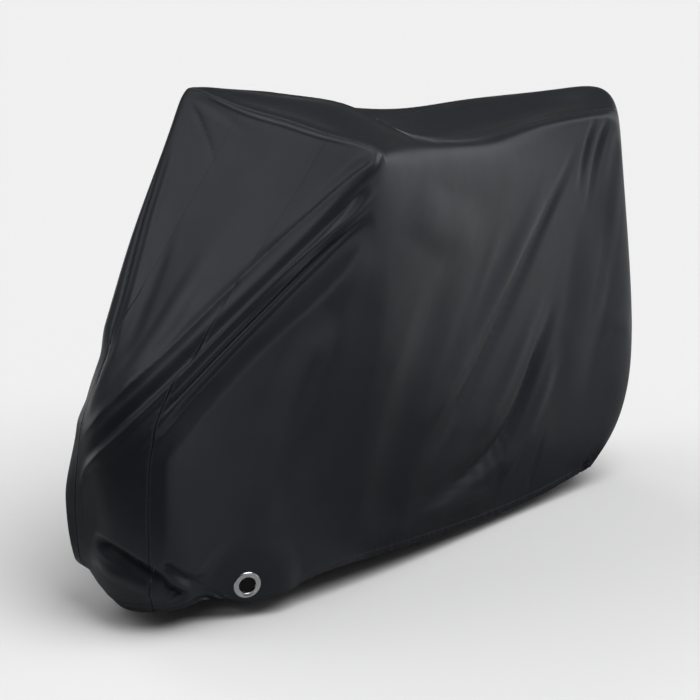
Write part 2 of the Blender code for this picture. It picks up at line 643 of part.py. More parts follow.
def add_patch(side, name, material):
    """A flat reinforced patch with its round hole, its lower edge drawn to a point."""
    arch = grown(patch_arch(side), -SEAM_GAP / 2)
    outline = np.concatenate([arch, [PATCH_TIP]])
    hole = ring_of(EYELET_BARREL_RADIUS + SEAM_GAP, EYELET_SIDES)
    flat = np.concatenate([outline, hole])
    loops = [list(range(len(outline))), list(range(len(outline), len(flat)))]
    triangles = triangulate(flat, loops, [])
    normals = np.tile(eyelet_plane(side)[3], (len(flat), 1))
    return add_solid(name, in_plane(side, flat), normals, triangles, material)


def add_eyelet(side, name, material):
    """A metal eyelet turned round the axis of its hole."""
    out = eyelet_plane(side)[3]
    points = []
    for section in EYELET_SECTION:
        points.append(in_plane(side, ring_of(section.radius, EYELET_SIDES)) + out * section.height)
    points = np.concatenate(points)
    faces = []
    rings = len(EYELET_SECTION)
    for i in range(rings):
        for k in range(EYELET_SIDES):
            here, there = i * EYELET_SIDES, (i + 1) % rings * EYELET_SIDES
            after = (k + 1) % EYELET_SIDES
            quad = (here + k, here + after, there + after, there + k)
            faces.append(quad if side < 0 else quad[::-1])
    mesh = bpy.data.meshes.new(name)
    mesh.from_pydata(points.tolist(), [], faces)
    return add_object(name, mesh, material)


# ---------------------------------------------------------------- panels
def add_lines(pieces, boundary, places, keep_off):
    """Add the places of the folds' centre lines, and return each line as vertex numbers."""
    lines = []
    kept = cloth(*np.array(boundary, float).T)
    for _, piece in pieces:
        line = []
        for place, point in zip(piece, cloth(*np.array(piece, float).T)):
            if abs(place[1]) == SEAM:
                on_seam = [spot for spot in boundary if spot[1] == place[1]]
                nearest = min(on_seam, key=lambda spot: abs(spot[0] - place[0]))
                line.append(boundary.index(nearest))
            elif clear_of([point], kept, EDGE_CLEARANCE / 2)[0] and clear_of([point], *keep_off)[0]:
                line.append(len(places))
                places.append(place)
        lines.append(line)
    return lines


def add_rows(rows, places, kept, keep_off):
    """Fill the rest of a panel with staggered rows of places along its columns."""
    for i, column in enumerate(rows):
        row = even_stations(column, LATTICE_SPACING)
        row = (row[1:] + row[:-1]) / 2 if i % 2 else row[1:-1]
        points = cloth(row, column)
        clear = clear_of(points, kept, ROW_CLEARANCE) & clear_of(points, *keep_off)
        places += [(station, column) for station in row[clear]]


def add_panel(name, material, boundary, rows, layout, fixed, keep_off):
    """A panel from its boundary's chart places, its folds and rows of places between them.

    Fixed holds places on the boundary whose points and normals are given. Keep-off is a list of
    points and the distance from them within which the panel has no further places.
    """
    columns = [column for _, column in boundary]
    low, high = min(columns), max(columns)
    pieces = fold_pieces(low, high)
    places = list(boundary)
    lines = add_lines(pieces, boundary, places, keep_off)
    kept = cloth(*np.array(places, float).T)
    kept = add_fold_sides(pieces, places, kept, low + SIDE_MARGIN, high - SIDE_MARGIN)
    add_rows(rows, places, kept, keep_off)

    middle = (low + high) / 2
    seams = [abs(column) == SEAM for _, column in boundary]
    shifts = np.zeros(len(places))
    shifts[:len(boundary)] = np.where(seams, np.sign(np.array(columns) - middle) * -SEAM_GAP / 2, 0)
    outer, normals = cloth_points(places, shifts)
    for number, (point, normal) in fixed.items():
        outer[number], normals[number] = point, normal
    triangles = triangulate(layout(places), [list(range(len(boundary)))], lines)
    return add_solid(name, outer, normals, triangles, material)


def add_side_panel(side, name, material):
    """One side panel, from the seam to the hem, with a notch in the hem for the patch."""
    seam, rim = side * SEAM, side * HEM_COLUMN
    (front_corner, _), (rear_corner, _) = patch_corners(side)
    centre, _, _, out = eyelet_plane(side)

    notch = in_plane(side, grown(patch_arch(side), SEAM_GAP / 2))[::-1]
    notch_places = []
    place = (rear_corner, rim)
    for point in notch:
        for _ in range(SEARCH_ROUNDS):
            place = moved(place, point - smooth_form(*place))
        notch_places.append(place)

    boundary = [(station, seam) for station in seam_stations(seam)]
    boundary += [(LAST, side * column) for column in RIM_COLUMNS]
    rear_hem = even_stations(rim, SEAM_SPACING, rear_corner, LAST)
    boundary += [(station, rim) for station in rear_hem[:0:-1]]
    first = len(boundary)
    boundary += notch_places
    front_hem = even_stations(rim, SEAM_SPACING, 0, front_corner)
    boundary += [(station, rim) for station in front_hem[-2::-1]]
    boundary += [(0.0, side * column) for column in RIM_COLUMNS[::-1]]

    fixed = {first + k: (point, out) for k, point in enumerate(notch)}
    rows = [side * column for column in SIDE_ROWS]
    return add_panel(name, material, boundary, rows, side_layout, fixed, ([centre], PATCH_FLAT_RADIUS))


def add_centre_strip(name, material):
    """The strip between the two seams, from the front hem to the rear hem."""
    boundary = [(station, -SEAM) for station in seam_stations(-SEAM)]
    boundary += [(LAST, column) for column in STRIP_ROWS]
    boundary += [(station, SEAM) for station in seam_stations(SEAM)[::-1]]
    boundary += [(0.0, column) for column in STRIP_ROWS[::-1]]
    return add_panel(name, material, boundary, STRIP_ROWS, strip_layout, {}, ([], 0))


# ---------------------------------------------------------------- materials and assembly
def add_material(name, colour, roughness, metallic):
    material = bpy.data.materials.new(name)
    material.use_nodes = True
    shader = material.node_tree.nodes["Principled BSDF"]
    shader.inputs["Base Color"].default_value = (*colour, 1.0)
    shader.inputs["Roughness"].default_value = roughness
    shader.inputs["Metallic"].default_value = metallic
    return material


for leftover in list(bpy.data.objects):
    bpy.data.objects.remove(leftover, do_unlink=True)

ORIGIN = bpy.data.objects.new("origin_at_hold_point", None)
ORIGIN.location = [-value for value in HOLD_POINT]
bpy.context.collection.objects.link(ORIGIN)

CLOTH = add_material("coated_cloth", (0.045, 0.047, 0.052), 0.42, 0.0)
METAL = add_material("eyelet_metal", (0.72, 0.73, 0.75), 0.18, 1.0)

add_centre_strip("centre_strip", CLOTH)
for side, label in ((1, "near"), (-1, "far")):
    add_side_panel(side, label + "_side_panel", CLOTH)
    add_patch(side, label + "_eyelet_patch", CLOTH)
    add_eyelet(side, label + "_eyelet", METAL)
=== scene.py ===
"""Looks of the bicycle cover: its panels as fine cloth with creases, seams and hems, and its
polished eyelets, on a pale studio floor.

The cloth is described on a chart of two numbers. The station, 0 to 23, counts the rows of the
STATIONS table from the front hem to the rear hem. The column, -6 to 6, counts across: 0 is the
centre line, 1 the seam, 2 and 3 the two sides of the shoulder, 4 and 5 the wall and 6 the hem.
Positive columns are the near side, which faces -Y, and negative ones the far side.
Lengths are in metres. Heights are measured from the ground and the front is at -X, until the
finished meshes are moved so that the frame's origin is the point that holds the cover up.
"""
from collections import namedtuple
from math import cos, pi, radians, sin

import bmesh
import bpy
import numpy as np
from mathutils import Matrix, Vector


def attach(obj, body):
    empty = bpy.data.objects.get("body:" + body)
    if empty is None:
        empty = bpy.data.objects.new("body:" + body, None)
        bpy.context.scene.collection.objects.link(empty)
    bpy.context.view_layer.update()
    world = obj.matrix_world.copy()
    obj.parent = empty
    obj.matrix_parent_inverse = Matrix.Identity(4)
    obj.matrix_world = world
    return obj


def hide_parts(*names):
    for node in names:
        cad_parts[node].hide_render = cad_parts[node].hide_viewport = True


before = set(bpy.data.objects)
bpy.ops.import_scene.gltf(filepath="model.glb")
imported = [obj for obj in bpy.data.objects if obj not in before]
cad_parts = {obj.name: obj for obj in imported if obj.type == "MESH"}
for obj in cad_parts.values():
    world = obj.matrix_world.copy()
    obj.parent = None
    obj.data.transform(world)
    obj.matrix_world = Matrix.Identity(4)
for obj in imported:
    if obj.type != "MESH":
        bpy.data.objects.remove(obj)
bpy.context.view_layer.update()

# ---------------------------------------------------------------- driving dimensions
SHEET_THICKNESS = 0.0012
SEAM_GAP = 0.0003
SHOULDER_RADIUS = 0.035
HANDLEBAR_END_X = -0.200
SAG_SHOULDER_RADIUS = 0.070       # softer behind the handlebar
SAG_X = 0.350
SHOULDER_SHARES = (0.5, 0.3)      # most of the way to the seam and to the hem it may take
WALL_SHARES = (0.33, 0.70)        # heights of the wall's two columns, down from the shoulder
WALL_EASING = ((4, 2), (5, 3))    # rounds of easing along the cover, by column of the wall
HOLD_POINT = (-0.030, 0.0, 1.097)

EYELET_CENTRE = (-0.539, 0.182, 0.088)
EYELET_FACING = (-0.42, 0.90, -0.12)
PATCH_FLAT_RADIUS = 0.078
PATCH_BLEND_RADIUS = 0.160

# ---------------------------------------------------------------- form of the draped cloth
# Rows set by hand from the photograph were moved to its outline by a least-squares fit outside
# this script. About two thirds of the centre, seam and shoulder values are within 5 mm of that
# fit. The other values, most of them in the front and rear rows, were set one by one.
Station = namedtuple("Station", "centre_x centre_z seam_x seam_y seam_z "
                                "shoulder_x shoulder_y shoulder_z hem_x")
STATIONS = (
    Station(-0.762, 0.030, -0.732, 0.088, 0.048, -0.712, 0.120, 0.055, -0.620),  # front hem
    Station(-0.812, 0.075, -0.770, 0.125, 0.095, -0.745, 0.162, 0.110, -0.580),
    Station(-0.840, 0.180, -0.780, 0.140, 0.200, -0.765, 0.180, 0.210, -0.520),
    Station(-0.850, 0.310, -0.780, 0.140, 0.335, -0.765, 0.185, 0.350, -0.460),  # front wheel
    Station(-0.840, 0.460, -0.775, 0.140, 0.500, -0.745, 0.180, 0.510, -0.400),
    Station(-0.790, 0.580, -0.720, 0.140, 0.600, -0.670, 0.190, 0.620, -0.350),  # over the wheel
    Station(-0.560, 0.785, -0.530, 0.140, 0.790, -0.515, 0.280, 0.835, -0.290),
    Station(-0.355, 0.985, -0.350, 0.140, 0.980, -0.340, 0.335, 1.030, -0.240),
    Station(-0.270, 1.075, -0.270, 0.140, 1.070, -0.275, 0.355, 1.125, -0.210),
    Station(-0.235, 1.120, -0.240, 0.140, 1.110, -0.255, 0.358, 1.155, -0.180),  # handlebar
    Station(-0.150, 1.132, -0.160, 0.140, 1.127, -0.185, 0.335, 1.128, -0.120),
    Station(-0.050, 1.132, -0.070, 0.140, 1.112, -0.070, 0.306, 1.086, -0.060),  # behind the stem
    Station(0.025, 1.075, 0.005, 0.140, 1.055, 0.050, 0.280, 1.070, 0.000),
    Station(0.155, 1.005, 0.125, 0.140, 1.005, 0.165, 0.250, 1.058, 0.080),
    Station(0.330, 0.965, 0.290, 0.140, 0.990, 0.325, 0.210, 1.006, 0.220),      # sag of the top
    Station(0.510, 0.965, 0.480, 0.140, 0.995, 0.485, 0.165, 0.970, 0.340),
    Station(0.720, 0.966, 0.665, 0.135, 0.972, 0.645, 0.140, 0.935, 0.440),      # saddle
    Station(0.845, 0.997, 0.757, 0.130, 0.955, 0.720, 0.138, 0.930, 0.500),
    Station(0.888, 0.998, 0.772, 0.130, 0.918, 0.745, 0.140, 0.885, 0.540),      # rear top
    Station(0.865, 0.800, 0.785, 0.130, 0.750, 0.775, 0.150, 0.730, 0.580),
    Station(0.865, 0.495, 0.820, 0.130, 0.455, 0.810, 0.157, 0.440, 0.585),
    Station(0.850, 0.270, 0.821, 0.133, 0.251, 0.805, 0.159, 0.241, 0.605),      # rear wheel
    Station(0.770, 0.120, 0.760, 0.136, 0.118, 0.744, 0.156, 0.119, 0.620),
    Station(0.685, 0.028, 0.675, 0.126, 0.054, 0.678, 0.143, 0.056, 0.628),      # rear hem
)
LAST = len(STATIONS) - 1
SEAM, SHOULDER, HEM_COLUMN = 1.0, 3.0, 6.0

# How far the shoulder hangs lower on the near side than on the far side.
Drop = namedtuple("Drop", "station depth")
NEAR_DROPS = (
    Drop(6.0, 0.000),
    Drop(8.0, 0.018),
    Drop(9.0, 0.030),
    Drop(10.0, 0.024),
    Drop(11.0, 0.010),
    Drop(12.5, 0.000),
)

HemPoint = namedtuple("HemPoint", "x half_width height")
HEM = (
    HemPoint(-0.620, 0.138, 0.067),
    HemPoint(-0.580, 0.150, 0.063),
    HemPoint(-0.535, 0.169, 0.036),  # point below the eyelet
    HemPoint(-0.460, 0.199, 0.050),
    HemPoint(-0.395, 0.212, 0.061),
    HemPoint(-0.315, 0.216, 0.073),
    HemPoint(-0.220, 0.213, 0.066),
    HemPoint(-0.010, 0.205, 0.051),
    HemPoint(0.300, 0.165, 0.021),
    HemPoint(0.500, 0.155, 0.035),
    HemPoint(0.628, 0.148, 0.051),
)

# Folds: a path of (station, column) places, the height of the fold (ridges above 0, valleys
# below), its width to the left and right of the path as seen from outside, how crisp its crest
# is, from 0 to 1, and the share of its length over which it fades in and out. The longer paths
# follow places picked by eye in the photograph, which a scratch script turned into chart places.
Fold = namedtuple("Fold", "name path height left right crisp fade_in fade_out")
FOLDS = (
    Fold("handlebar ridge", ((8.75, -2.6), (8.95, -0.8), (8.95, 0.8), (9.1, 2.7)),
         0.006, 0.026, 0.022, 0.9, 0.10, 0.10),
    Fold("deck crest",
         ((9.8, -2.0), (10.5, -1.5), (10.9, -0.6), (11.05, 0.3), (11.08, 1.2), (11.35, 2.0)),
         0.004, 0.030, 0.026, 0.8, 0.25, 0.25),
    Fold("fall behind the deck", ((11.5, -1.2), (11.75, -0.4), (11.85, 0.5), (11.95, 1.3), (12.3, 2.2)),
         -0.008, 0.036, 0.050, 0.2, 0.30, 0.35),
    # bundle of folds from the near end of the handlebar across the front of the wheel
    Fold("facet edge valley",
         ((8.65, 2.28), (7.83, 1.93), (7.37, 1.74), (7.0, 1.55), (6.7, 1.35), (6.4, 1.17)),
         -0.007, 0.030, 0.016, 0.2, 0.15, 0.50),
    Fold("facet edge ridge",
         ((8.59, 2.43), (7.55, 1.95), (6.95, 1.64), (6.55, 1.36), (6.18, 1.06), (5.80, 0.76),
          (5.42, 0.50), (5.05, 0.24), (4.60, -0.10), (4.14, -0.43), (3.40, -1.10)),
         0.006, 0.030, 0.018, 0.5, 0.20, 0.20),
    Fold("inner valley",
         ((8.30, 2.72), (7.55, 2.58), (7.03, 2.37), (6.63, 2.13), (6.22, 1.80), (5.85, 1.48),
          (5.46, 1.12), (5.00, 0.74), (4.50, 0.36), (4.00, -0.04), (3.30, -0.70)),
         -0.015, 0.034, 0.028, 0.2, 0.20, 0.15),
    Fold("pinched crease",
         ((8.75, 3.02), (7.75, 2.91), (7.17, 2.76), (6.70, 2.50), (6.35, 2.24), (6.05, 1.98),
          (5.75, 1.70), (5.42, 1.36), (5.05, 1.02), (4.60, 0.66), (4.00, 0.14), (3.40, -0.40),
          (2.80, -0.95)),
         0.012, 0.030, 0.015, 0.5, 0.22, 0.10),
    Fold("shadow valley",
         ((8.40, 3.24), (7.70, 3.20), (7.07, 3.14), (6.65, 3.07), (6.25, 2.95), (5.90, 2.84),
          (5.56, 2.70), (5.20, 2.54), (4.80, 2.28), (4.44, 1.85), (3.94, 1.00), (3.40, 0.30)),
         -0.017, 0.022, 0.050, 0.2, 0.22, 0.20),
    # creases below the far end of the handlebar
    Fold("short far crease", ((8.2, -1.95), (7.6, -1.35), (7.1, -0.8)),
         -0.003, 0.014, 0.016, 0.5, 0.25, 0.5),
    Fold("soft far crease", ((8.45, -1.95), (8.3, -1.2), (8.0, -0.4)),
         -0.002, 0.022, 0.022, 0.2, 0.25, 0.5),
    # toe of the cover, drawn in under the front wheel by the elastic hem
    Fold("toe valley", ((2.25, -0.3), (2.05, 0.3), (1.75, 0.8), (1.15, 2.1), (0.6, 3.4)),
         -0.026, 0.030, 0.026, 0.6, 0.15, 0.15),
    Fold("toe ridge", ((1.75, -0.4), (1.45, 0.5), (0.75, 1.65)), 0.008, 0.028, 0.028, 0.0, 0.3, 0.3),
    Fold("side toe valley", ((1.9, 1.4), (1.55, 3.0), (1.1, 4.6)), -0.018, 0.026, 0.030, 0.4, 0.2, 0.3),
    # near wall
    Fold("front wall swell", ((6.8, 3.6), (6.0, 3.85), (4.9, 4.4), (3.7, 5.0)),
         0.014, 0.075, 0.075, 0.0, 0.2, 0.3),
    Fold("front wall hollow", ((8.2, 3.6), (8.0, 4.1), (7.2, 4.7), (6.4, 5.8)),
         -0.005, 0.070, 0.080, 0.0, 0.3, 0.1),
    Fold("shoulder swell", ((10.2, 3.2), (11.8, 3.5), (13.4, 3.6)),
         0.008, 0.080, 0.090, 0.0, 0.35, 0.35),
    Fold("middle hollow", ((12.4, 3.7), (11.6, 4.2), (10.7, 4.8), (9.5, 5.9)),
         -0.009, 0.100, 0.100, 0.0, 0.4, 0.1),
    Fold("saddle to hem ridge",
         ((15.35, 2.95), (14.65, 3.55), (13.95, 4.04), (13.13, 4.47), (12.21, 4.88), (11.40, 5.20)),
         0.012, 0.060, 0.034, 0.1, 0.35, 0.25),
    Fold("long saddle valley",
         ((15.85, 2.40), (15.55, 3.00), (15.15, 3.42), (14.68, 3.84), (14.20, 4.20), (13.62, 4.55),
          (13.00, 4.88), (12.35, 5.16), (11.70, 5.38)),
         -0.011, 0.024, 0.030, 0.3, 0.30, 0.30),
    Fold("rear wall ridge", ((15.60, 4.05), (15.05, 4.43), (14.57, 4.77), (14.07, 5.06), (13.55, 5.26)),
         0.007, 0.032, 0.030, 0.1, 0.35, 0.30),
    Fold("deep rear valley",
         ((16.00, 4.12), (15.75, 4.50), (15.47, 4.78), (15.15, 5.04), (14.75, 5.26), (14.25, 5.41),
          (13.60, 5.52), (12.80, 5.60), (11.80, 5.67), (10.60, 5.75)),
         -0.024, 0.034, 0.030, 0.4, 0.25, 0.55),
    Fold("low ridge", ((16.60, 4.55), (16.15, 4.91), (15.60, 5.23), (15.05, 5.50), (14.61, 5.68)),
         0.010, 0.030, 0.030, 0.2, 0.35, 0.20),
    Fold("hem roll", ((9.40, 5.90), (10.80, 5.86), (12.80, 5.80), (14.09, 5.77), (14.73, 5.75)),
         0.006, 0.014, 0.020, 0.3, 0.30, 0.30),
    Fold("rear swell", ((17.2, 3.4), (17.6, 4.2), (17.4, 5.2)), 0.008, 0.080, 0.080, 0.0, 0.3, 0.3),
    Fold("first saddle crease", ((16.25, 1.50), (16.14, 2.44), (16.08, 2.98), (16.09, 3.32)),
         -0.006, 0.018, 0.018, 0.4, 0.35, 0.5),
    Fold("second saddle crease", ((16.80, 1.50), (16.66, 2.47), (16.58, 3.00), (16.62, 3.61)),
         -0.006, 0.020, 0.020, 0.4, 0.35, 0.5),
    # far wall, whose folds differ from the near ones
    Fold("far cheek", ((3.7, -2.1), (2.7, -2.2), (1.6, -2.1), (0.8, -1.8)),
         0.022, 0.090, 0.090, 0.0, 0.4, 0.2),
    Fold("far knee hollow", ((5.3, -1.7), (4.6, -1.7), (3.7, -1.8)),
         -0.012, 0.080, 0.080, 0.0, 0.3, 0.3),
    Fold("far bar valley", ((8.2, -3.3), (6.8, -3.1), (5.6, -2.9), (4.4, -2.5)),
         -0.014, 0.034, 0.040, 0.3, 0.15, 0.3),
    Fold("far front hollow", ((8.6, -3.5), (7.6, -4.4), (6.6, -5.8)),
         -0.016, 0.080, 0.070, 0.0, 0.3, 0.1),
    Fold("far front swell", ((6.9, -3.7), (5.6, -4.5), (4.6, -5.2)),
         0.013, 0.070, 0.070, 0.0, 0.3, 0.3),
    Fold("far middle ridge", ((10.8, -3.4), (10.3, -4.3), (9.4, -5.6)),
         0.014, 0.060, 0.060, 0.1, 0.3, 0.2),
    Fold("far middle hollow", ((13.2, -3.5), (12.4, -4.3), (11.4, -5.8)),
         -0.018, 0.070, 0.070, 0.0, 0.3, 0.1),
    Fold("far saddle valley", ((16.5, -2.4), (15.7, -3.6), (14.4, -4.8), (13.2, -5.9)),
         -0.016, 0.036, 0.036, 0.4, 0.15, 0.1),
    Fold("far saddle ridge", ((15.4, -3.2), (14.6, -4.1), (13.3, -5.1)),
         0.014, 0.050, 0.050, 0.2, 0.2, 0.3),
    Fold("far rear valley", ((17.0, -2.6), (16.9, -3.6), (16.2, -4.8), (15.4, -5.9)),
         -0.014, 0.036, 0.036, 0.3, 0.2, 0.1),
)

# ---------------------------------------------------------------- creases that only the looks need
# Shallow creases and ripples between the main folds.
CREASES = (
    Fold("second bar ridge", ((8.75, -1.9), (8.72, -0.8), (8.72, 0.6), (8.82, 2.0)),
         0.0012, 0.008, 0.007, 0.7, 0.2, 0.2),
    Fold("pinch line",
         ((8.31, 3.11), (7.65, 3.03), (7.09, 2.90), (6.68, 2.77), (6.31, 2.60), (5.98, 2.42),
          (5.68, 2.22), (5.38, 1.95), (5.12, 1.69), (4.86, 1.40), (4.56, 1.08), (4.20, 0.75)),
         -0.006, 0.006, 0.007, 1.0, 0.12, 0.20),
    Fold("far edge line",
         ((7.20, -2.40), (6.80, -2.20), (6.30, -2.02), (5.88, -1.75), (5.42, -1.35), (4.85, -0.92),
          (4.50, -0.72)),
         -0.003, 0.006, 0.006, 1.0, 0.40, 0.20),
    Fold("far edge roll",
         ((7.20, -1.98), (6.91, -1.84), (6.37, -1.66), (5.95, -1.38), (5.48, -0.99), (4.90, -0.49)),
         0.004, 0.014, 0.016, 0.2, 0.30, 0.30),
    Fold("facet swell", ((6.60, 0.05), (6.01, 0.10), (5.56, 0.15), (5.06, 0.10), (4.66, -0.14)),
         0.006, 0.050, 0.040, 0.0, 0.40, 0.20),
    Fold("facet hollow", ((6.80, -1.35), (6.25, -1.05), (5.81, -0.75), (5.44, -0.50), (5.12, -0.38)),
         -0.003, 0.030, 0.034, 0.0, 0.40, 0.30),
    Fold("wall lip",
         ((8.2, 3.45), (7.7, 3.45), (7.2, 3.45), (6.9, 3.42), (6.4, 3.35), (6.0, 3.25), (5.5, 3.1)),
         0.007, 0.030, 0.090, 0.0, 0.40, 0.35),
    Fold("sag of the top", ((12.2, 0.1), (13.2, 0.0), (14.5, -0.1), (15.8, -0.1), (16.8, 0.0)),
         -0.014, 0.090, 0.090, 0.0, 0.25, 0.25),
    Fold("wall roll", ((13.9, 3.4), (13.3, 4.0), (12.5, 4.7)), 0.002, 0.030, 0.034, 0.0, 0.3, 0.3),
    Fold("short hem crease", ((16.49, 5.33), (16.10, 5.60), (15.77, 5.86)),
         -0.004, 0.010, 0.012, 0.6, 0.4, 0.2),
    Fold("rear crease one", ((18.2, 2.4), (18.6, 3.4), (18.6, 4.4)),
         0.002, 0.034, 0.030, 0.1, 0.3, 0.3),
    Fold("rear crease two", ((20.4, 2.0), (19.8, 3.2), (18.9, 4.4)),
         0.002, 0.034, 0.034, 0.0, 0.3, 0.3),
    Fold("rear crease three", ((17.9, 1.2), (17.8, 2.2), (17.9, 3.2)),
         -0.002, 0.026, 0.028, 0.1, 0.3, 0.3),
    Fold("far crease one", ((9.8, -3.5), (9.0, -4.2), (8.2, -5.0)), 0.004, 0.024, 0.020, 0.4, 0.3, 0.3),
    Fold("far crease two", ((12.2, -3.3), (11.6, -4.1), (10.8, -5.2)),
         0.004, 0.022, 0.026, 0.4, 0.3, 0.3),
    Fold("far crease three", ((18.6, -2.4), (18.9, -3.4), (18.6, -4.6)),
         -0.004, 0.026, 0.026, 0.2, 0.3, 0.3),
    Fold("far crease four", ((6.2, -4.0), (5.2, -4.6), (4.2, -5.4)),
         0.004, 0.022, 0.022, 0.3, 0.3, 0.3),
)

# ---------------------------------------------------------------- from the tables to the form
FOLD_SAMPLES = 18                 # points along each fold
NORMAL_STEP = 0.02                # in stations and in columns, to either side
LAST_KNOT_MARGIN = 1e-9           # keeps the last place inside the last knot interval


def shoulder_side(shoulder, neighbour, share, radius):
    """The point beside the shoulder on the way to a neighbour."""
    step = neighbour - shoulder
    return shoulder + step * min(share, radius / np.linalg.norm(step))


def station_side(station):
    """Half a station's cage: centre, seam, two shoulder points, two wall points and hem."""
    hem_x = [point.x for point in HEM]
    half_width = np.interp(station.hem_x, hem_x, [point.half_width for point in HEM])
    height = np.interp(station.hem_x, hem_x, [point.height for point in HEM])
    centre = np.array([station.centre_x, 0.0, station.centre_z])
    seam = np.array([station.seam_x, station.seam_y, station.seam_z])
    shoulder = np.array([station.shoulder_x, station.shoulder_y, station.shoulder_z])
    hem = np.array([station.hem_x, half_width, height])
    radius = np.interp(station.shoulder_x, (HANDLEBAR_END_X, SAG_X),
                       (SHOULDER_RADIUS, SAG_SHOULDER_RADIUS))
    upper = shoulder_side(shoulder, seam, SHOULDER_SHARES[0], radius)
    lower = shoulder_side(shoulder, hem, SHOULDER_SHARES[1], radius)
    wall = [lower + (hem - lower) * share for share in WALL_SHARES]
    return [centre, seam, upper, lower, *wall, hem]


def cage():
    """Control points of the whole cover, with one row and column added past each edge."""
    rows = []
    drops = np.interp(range(len(STATIONS)), [drop.station for drop in NEAR_DROPS],
                      [drop.depth for drop in NEAR_DROPS])
    for station, drop in zip(STATIONS, drops):
        far = station_side(station)
        lower = station._replace(shoulder_z=station.shoulder_z - drop)
        near = [point * (1, -1, 1) for point in station_side(lower)[1:]]
        rows.append(far[:0:-1] + [far[0]] + near)
    grid = np.array(rows)
    for column, rounds in WALL_EASING:
        for place in (int(HEM_COLUMN) - column, int(HEM_COLUMN) + column):
            for _ in range(rounds):
                line = grid[:, place].copy()
                grid[1:-1, place] = (line[:-2] + 2 * line[1:-1] + line[2:]) / 4
    grid = np.concatenate([2 * grid[:1] - grid[1:2], grid, 2 * grid[-1:] - grid[-2:-1]])
    first, last = 2 * grid[:, :1] - grid[:, 1:2], 2 * grid[:, -1:] - grid[:, -2:-1]
    return np.concatenate([first, grid, last], axis=1)


CAGE = cage()


def spline_weights(places, last):
    """Knot index and the four cubic B-spline weights at places from 0 to last."""
    places = np.clip(places, 0, last - LAST_KNOT_MARGIN)
    index = np.floor(places).astype(int)
    f = places - index
    weights = ((1 - f) ** 3, 3 * f**3 - 6 * f**2 + 4, -3 * f**3 + 3 * f**2 + 3 * f + 1, f**3)
    return index, np.stack(weights, -1) / 6


def smooth_form(station, column):
    """Points of the cover without its folds, at chart places."""
    station, column = np.broadcast_arrays(np.asarray(station, float), np.asarray(column, float))
    row, row_weight = spline_weights(station, LAST)
    col, col_weight = spline_weights(column + HEM_COLUMN, 2 * HEM_COLUMN)
    total = 0
    for i in range(4):
        for j in range(4):
            weight = row_weight[..., i] * col_weight[..., j]
            total = total + weight[..., None] * CAGE[row + i, col + j]
    return total


def unit(vectors):
    return vectors / np.linalg.norm(vectors, axis=-1, keepdims=True)


def outward(station, column):
    """Unit directions out of the smooth form at chart places."""
    along = (smooth_form(np.minimum(station + NORMAL_STEP, LAST), column)
             - smooth_form(np.maximum(station - NORMAL_STEP, 0), column))
    across = (smooth_form(station, np.minimum(column + NORMAL_STEP, HEM_COLUMN))
              - smooth_form(station, np.maximum(column - NORMAL_STEP, -HEM_COLUMN)))
    return unit(np.cross(across, unit(along)))


def smoothstep(x):
    x = np.clip(x, 0, 1)
    return x * x * (3 - 2 * x)


def fold_course(fold):
    """A fold with evenly sampled points of its path on the smooth form, and directions out of it."""
    path = np.array(fold.path, float)
    knots = np.linspace(0, 1, len(path))
    samples = np.linspace(0, 1, FOLD_SAMPLES)
    station = np.interp(samples, knots, path[:, 0])
    column = np.interp(samples, knots, path[:, 1])
    return fold, smooth_form(station, column), outward(station, column)


COURSES = [fold_course(fold) for fold in FOLDS + CREASES]


def fade(fold, place):
    """How much of a fold is left at places from 0 to 1 along it."""
    return smoothstep(place / fold.fade_in) * smoothstep((1 - place) / fold.fade_out)


def along_edge(path, k, points):
    """Shares of the way along the path's edge k next to points, and their offsets from it."""
    edge = path[k + 1] - path[k]
    offset = points - path[k]
    share = np.clip(offset @ edge / (edge @ edge), 0, 1)
    return share, offset - share[:, None] * edge


def fold_relief(course, points):
    """Height that one fold adds at points of the smooth form."""
    fold, path, out = course
    relief = np.zeros(len(points))
    reach = max(fold.left, fold.right)
    near = np.all((points > path.min(axis=0) - reach) & (points < path.max(axis=0) + reach), axis=1)
    if not near.any():
        return relief
    best = np.full(near.sum(), np.inf)
    height = np.zeros(near.sum())
    for k in range(FOLD_SAMPLES - 1):
        share, offset = along_edge(path, k, points[near])
        distance = np.linalg.norm(offset, axis=1)
        rightwards = np.cross(out[k], path[k + 1] - path[k])
        x = np.clip(distance / np.where(offset @ rightwards > 0, fold.right, fold.left), 0, 1)
        bump = (1 - fold.crisp) * (1 - x * x) ** 2 + fold.crisp * (1 - x) ** 2
        bump = bump * fade(fold, (k + share) / (FOLD_SAMPLES - 1))
        height = np.where(distance < best, fold.height * bump, height)
        best = np.minimum(distance, best)
    relief[near] = height
    return relief


def flatten_at_eyelets(points):
    """Press the cloth into a plane around each eyelet."""
    for side in (1, -1):
        centre = np.array(EYELET_CENTRE) * (1, side, 1)
        facing = unit(np.array(EYELET_FACING) * (1, side, 1))
        offset = points - centre
        reach = np.linalg.norm(offset, axis=-1)
        share = 1 - smoothstep((reach - PATCH_FLAT_RADIUS) / (PATCH_BLEND_RADIUS - PATCH_FLAT_RADIUS))
        points = points - facing * ((offset @ facing) * share)[..., None]
    return points


# ---------------------------------------------------------------- sheets of cloth
# Gathers that the elastic draws in the hems, between two stations. They fade over a share of
# a station, and their phase wanders along the hem so that no two are alike.
Gather = namedtuple("Gather", "low high amplitude wavelength reach")
GATHERS = (
    Gather(-1.0, 1.3, 0.0035, 0.021, 0.045),   # front hem
    Gather(21.3, 24.0, 0.0018, 0.024, 0.045),  # rear hem
    Gather(8.8, 12.2, 0.0003, 0.023, 0.030),   # middle of the side hems
)
GATHER_FADE = 0.6
GATHER_WOBBLE, WOBBLE_RATE, WOBBLE_START = 0.7, 1.7, 1.0
GATHER_DRIFT, DRIFT_RATE = 1.5, 9.0

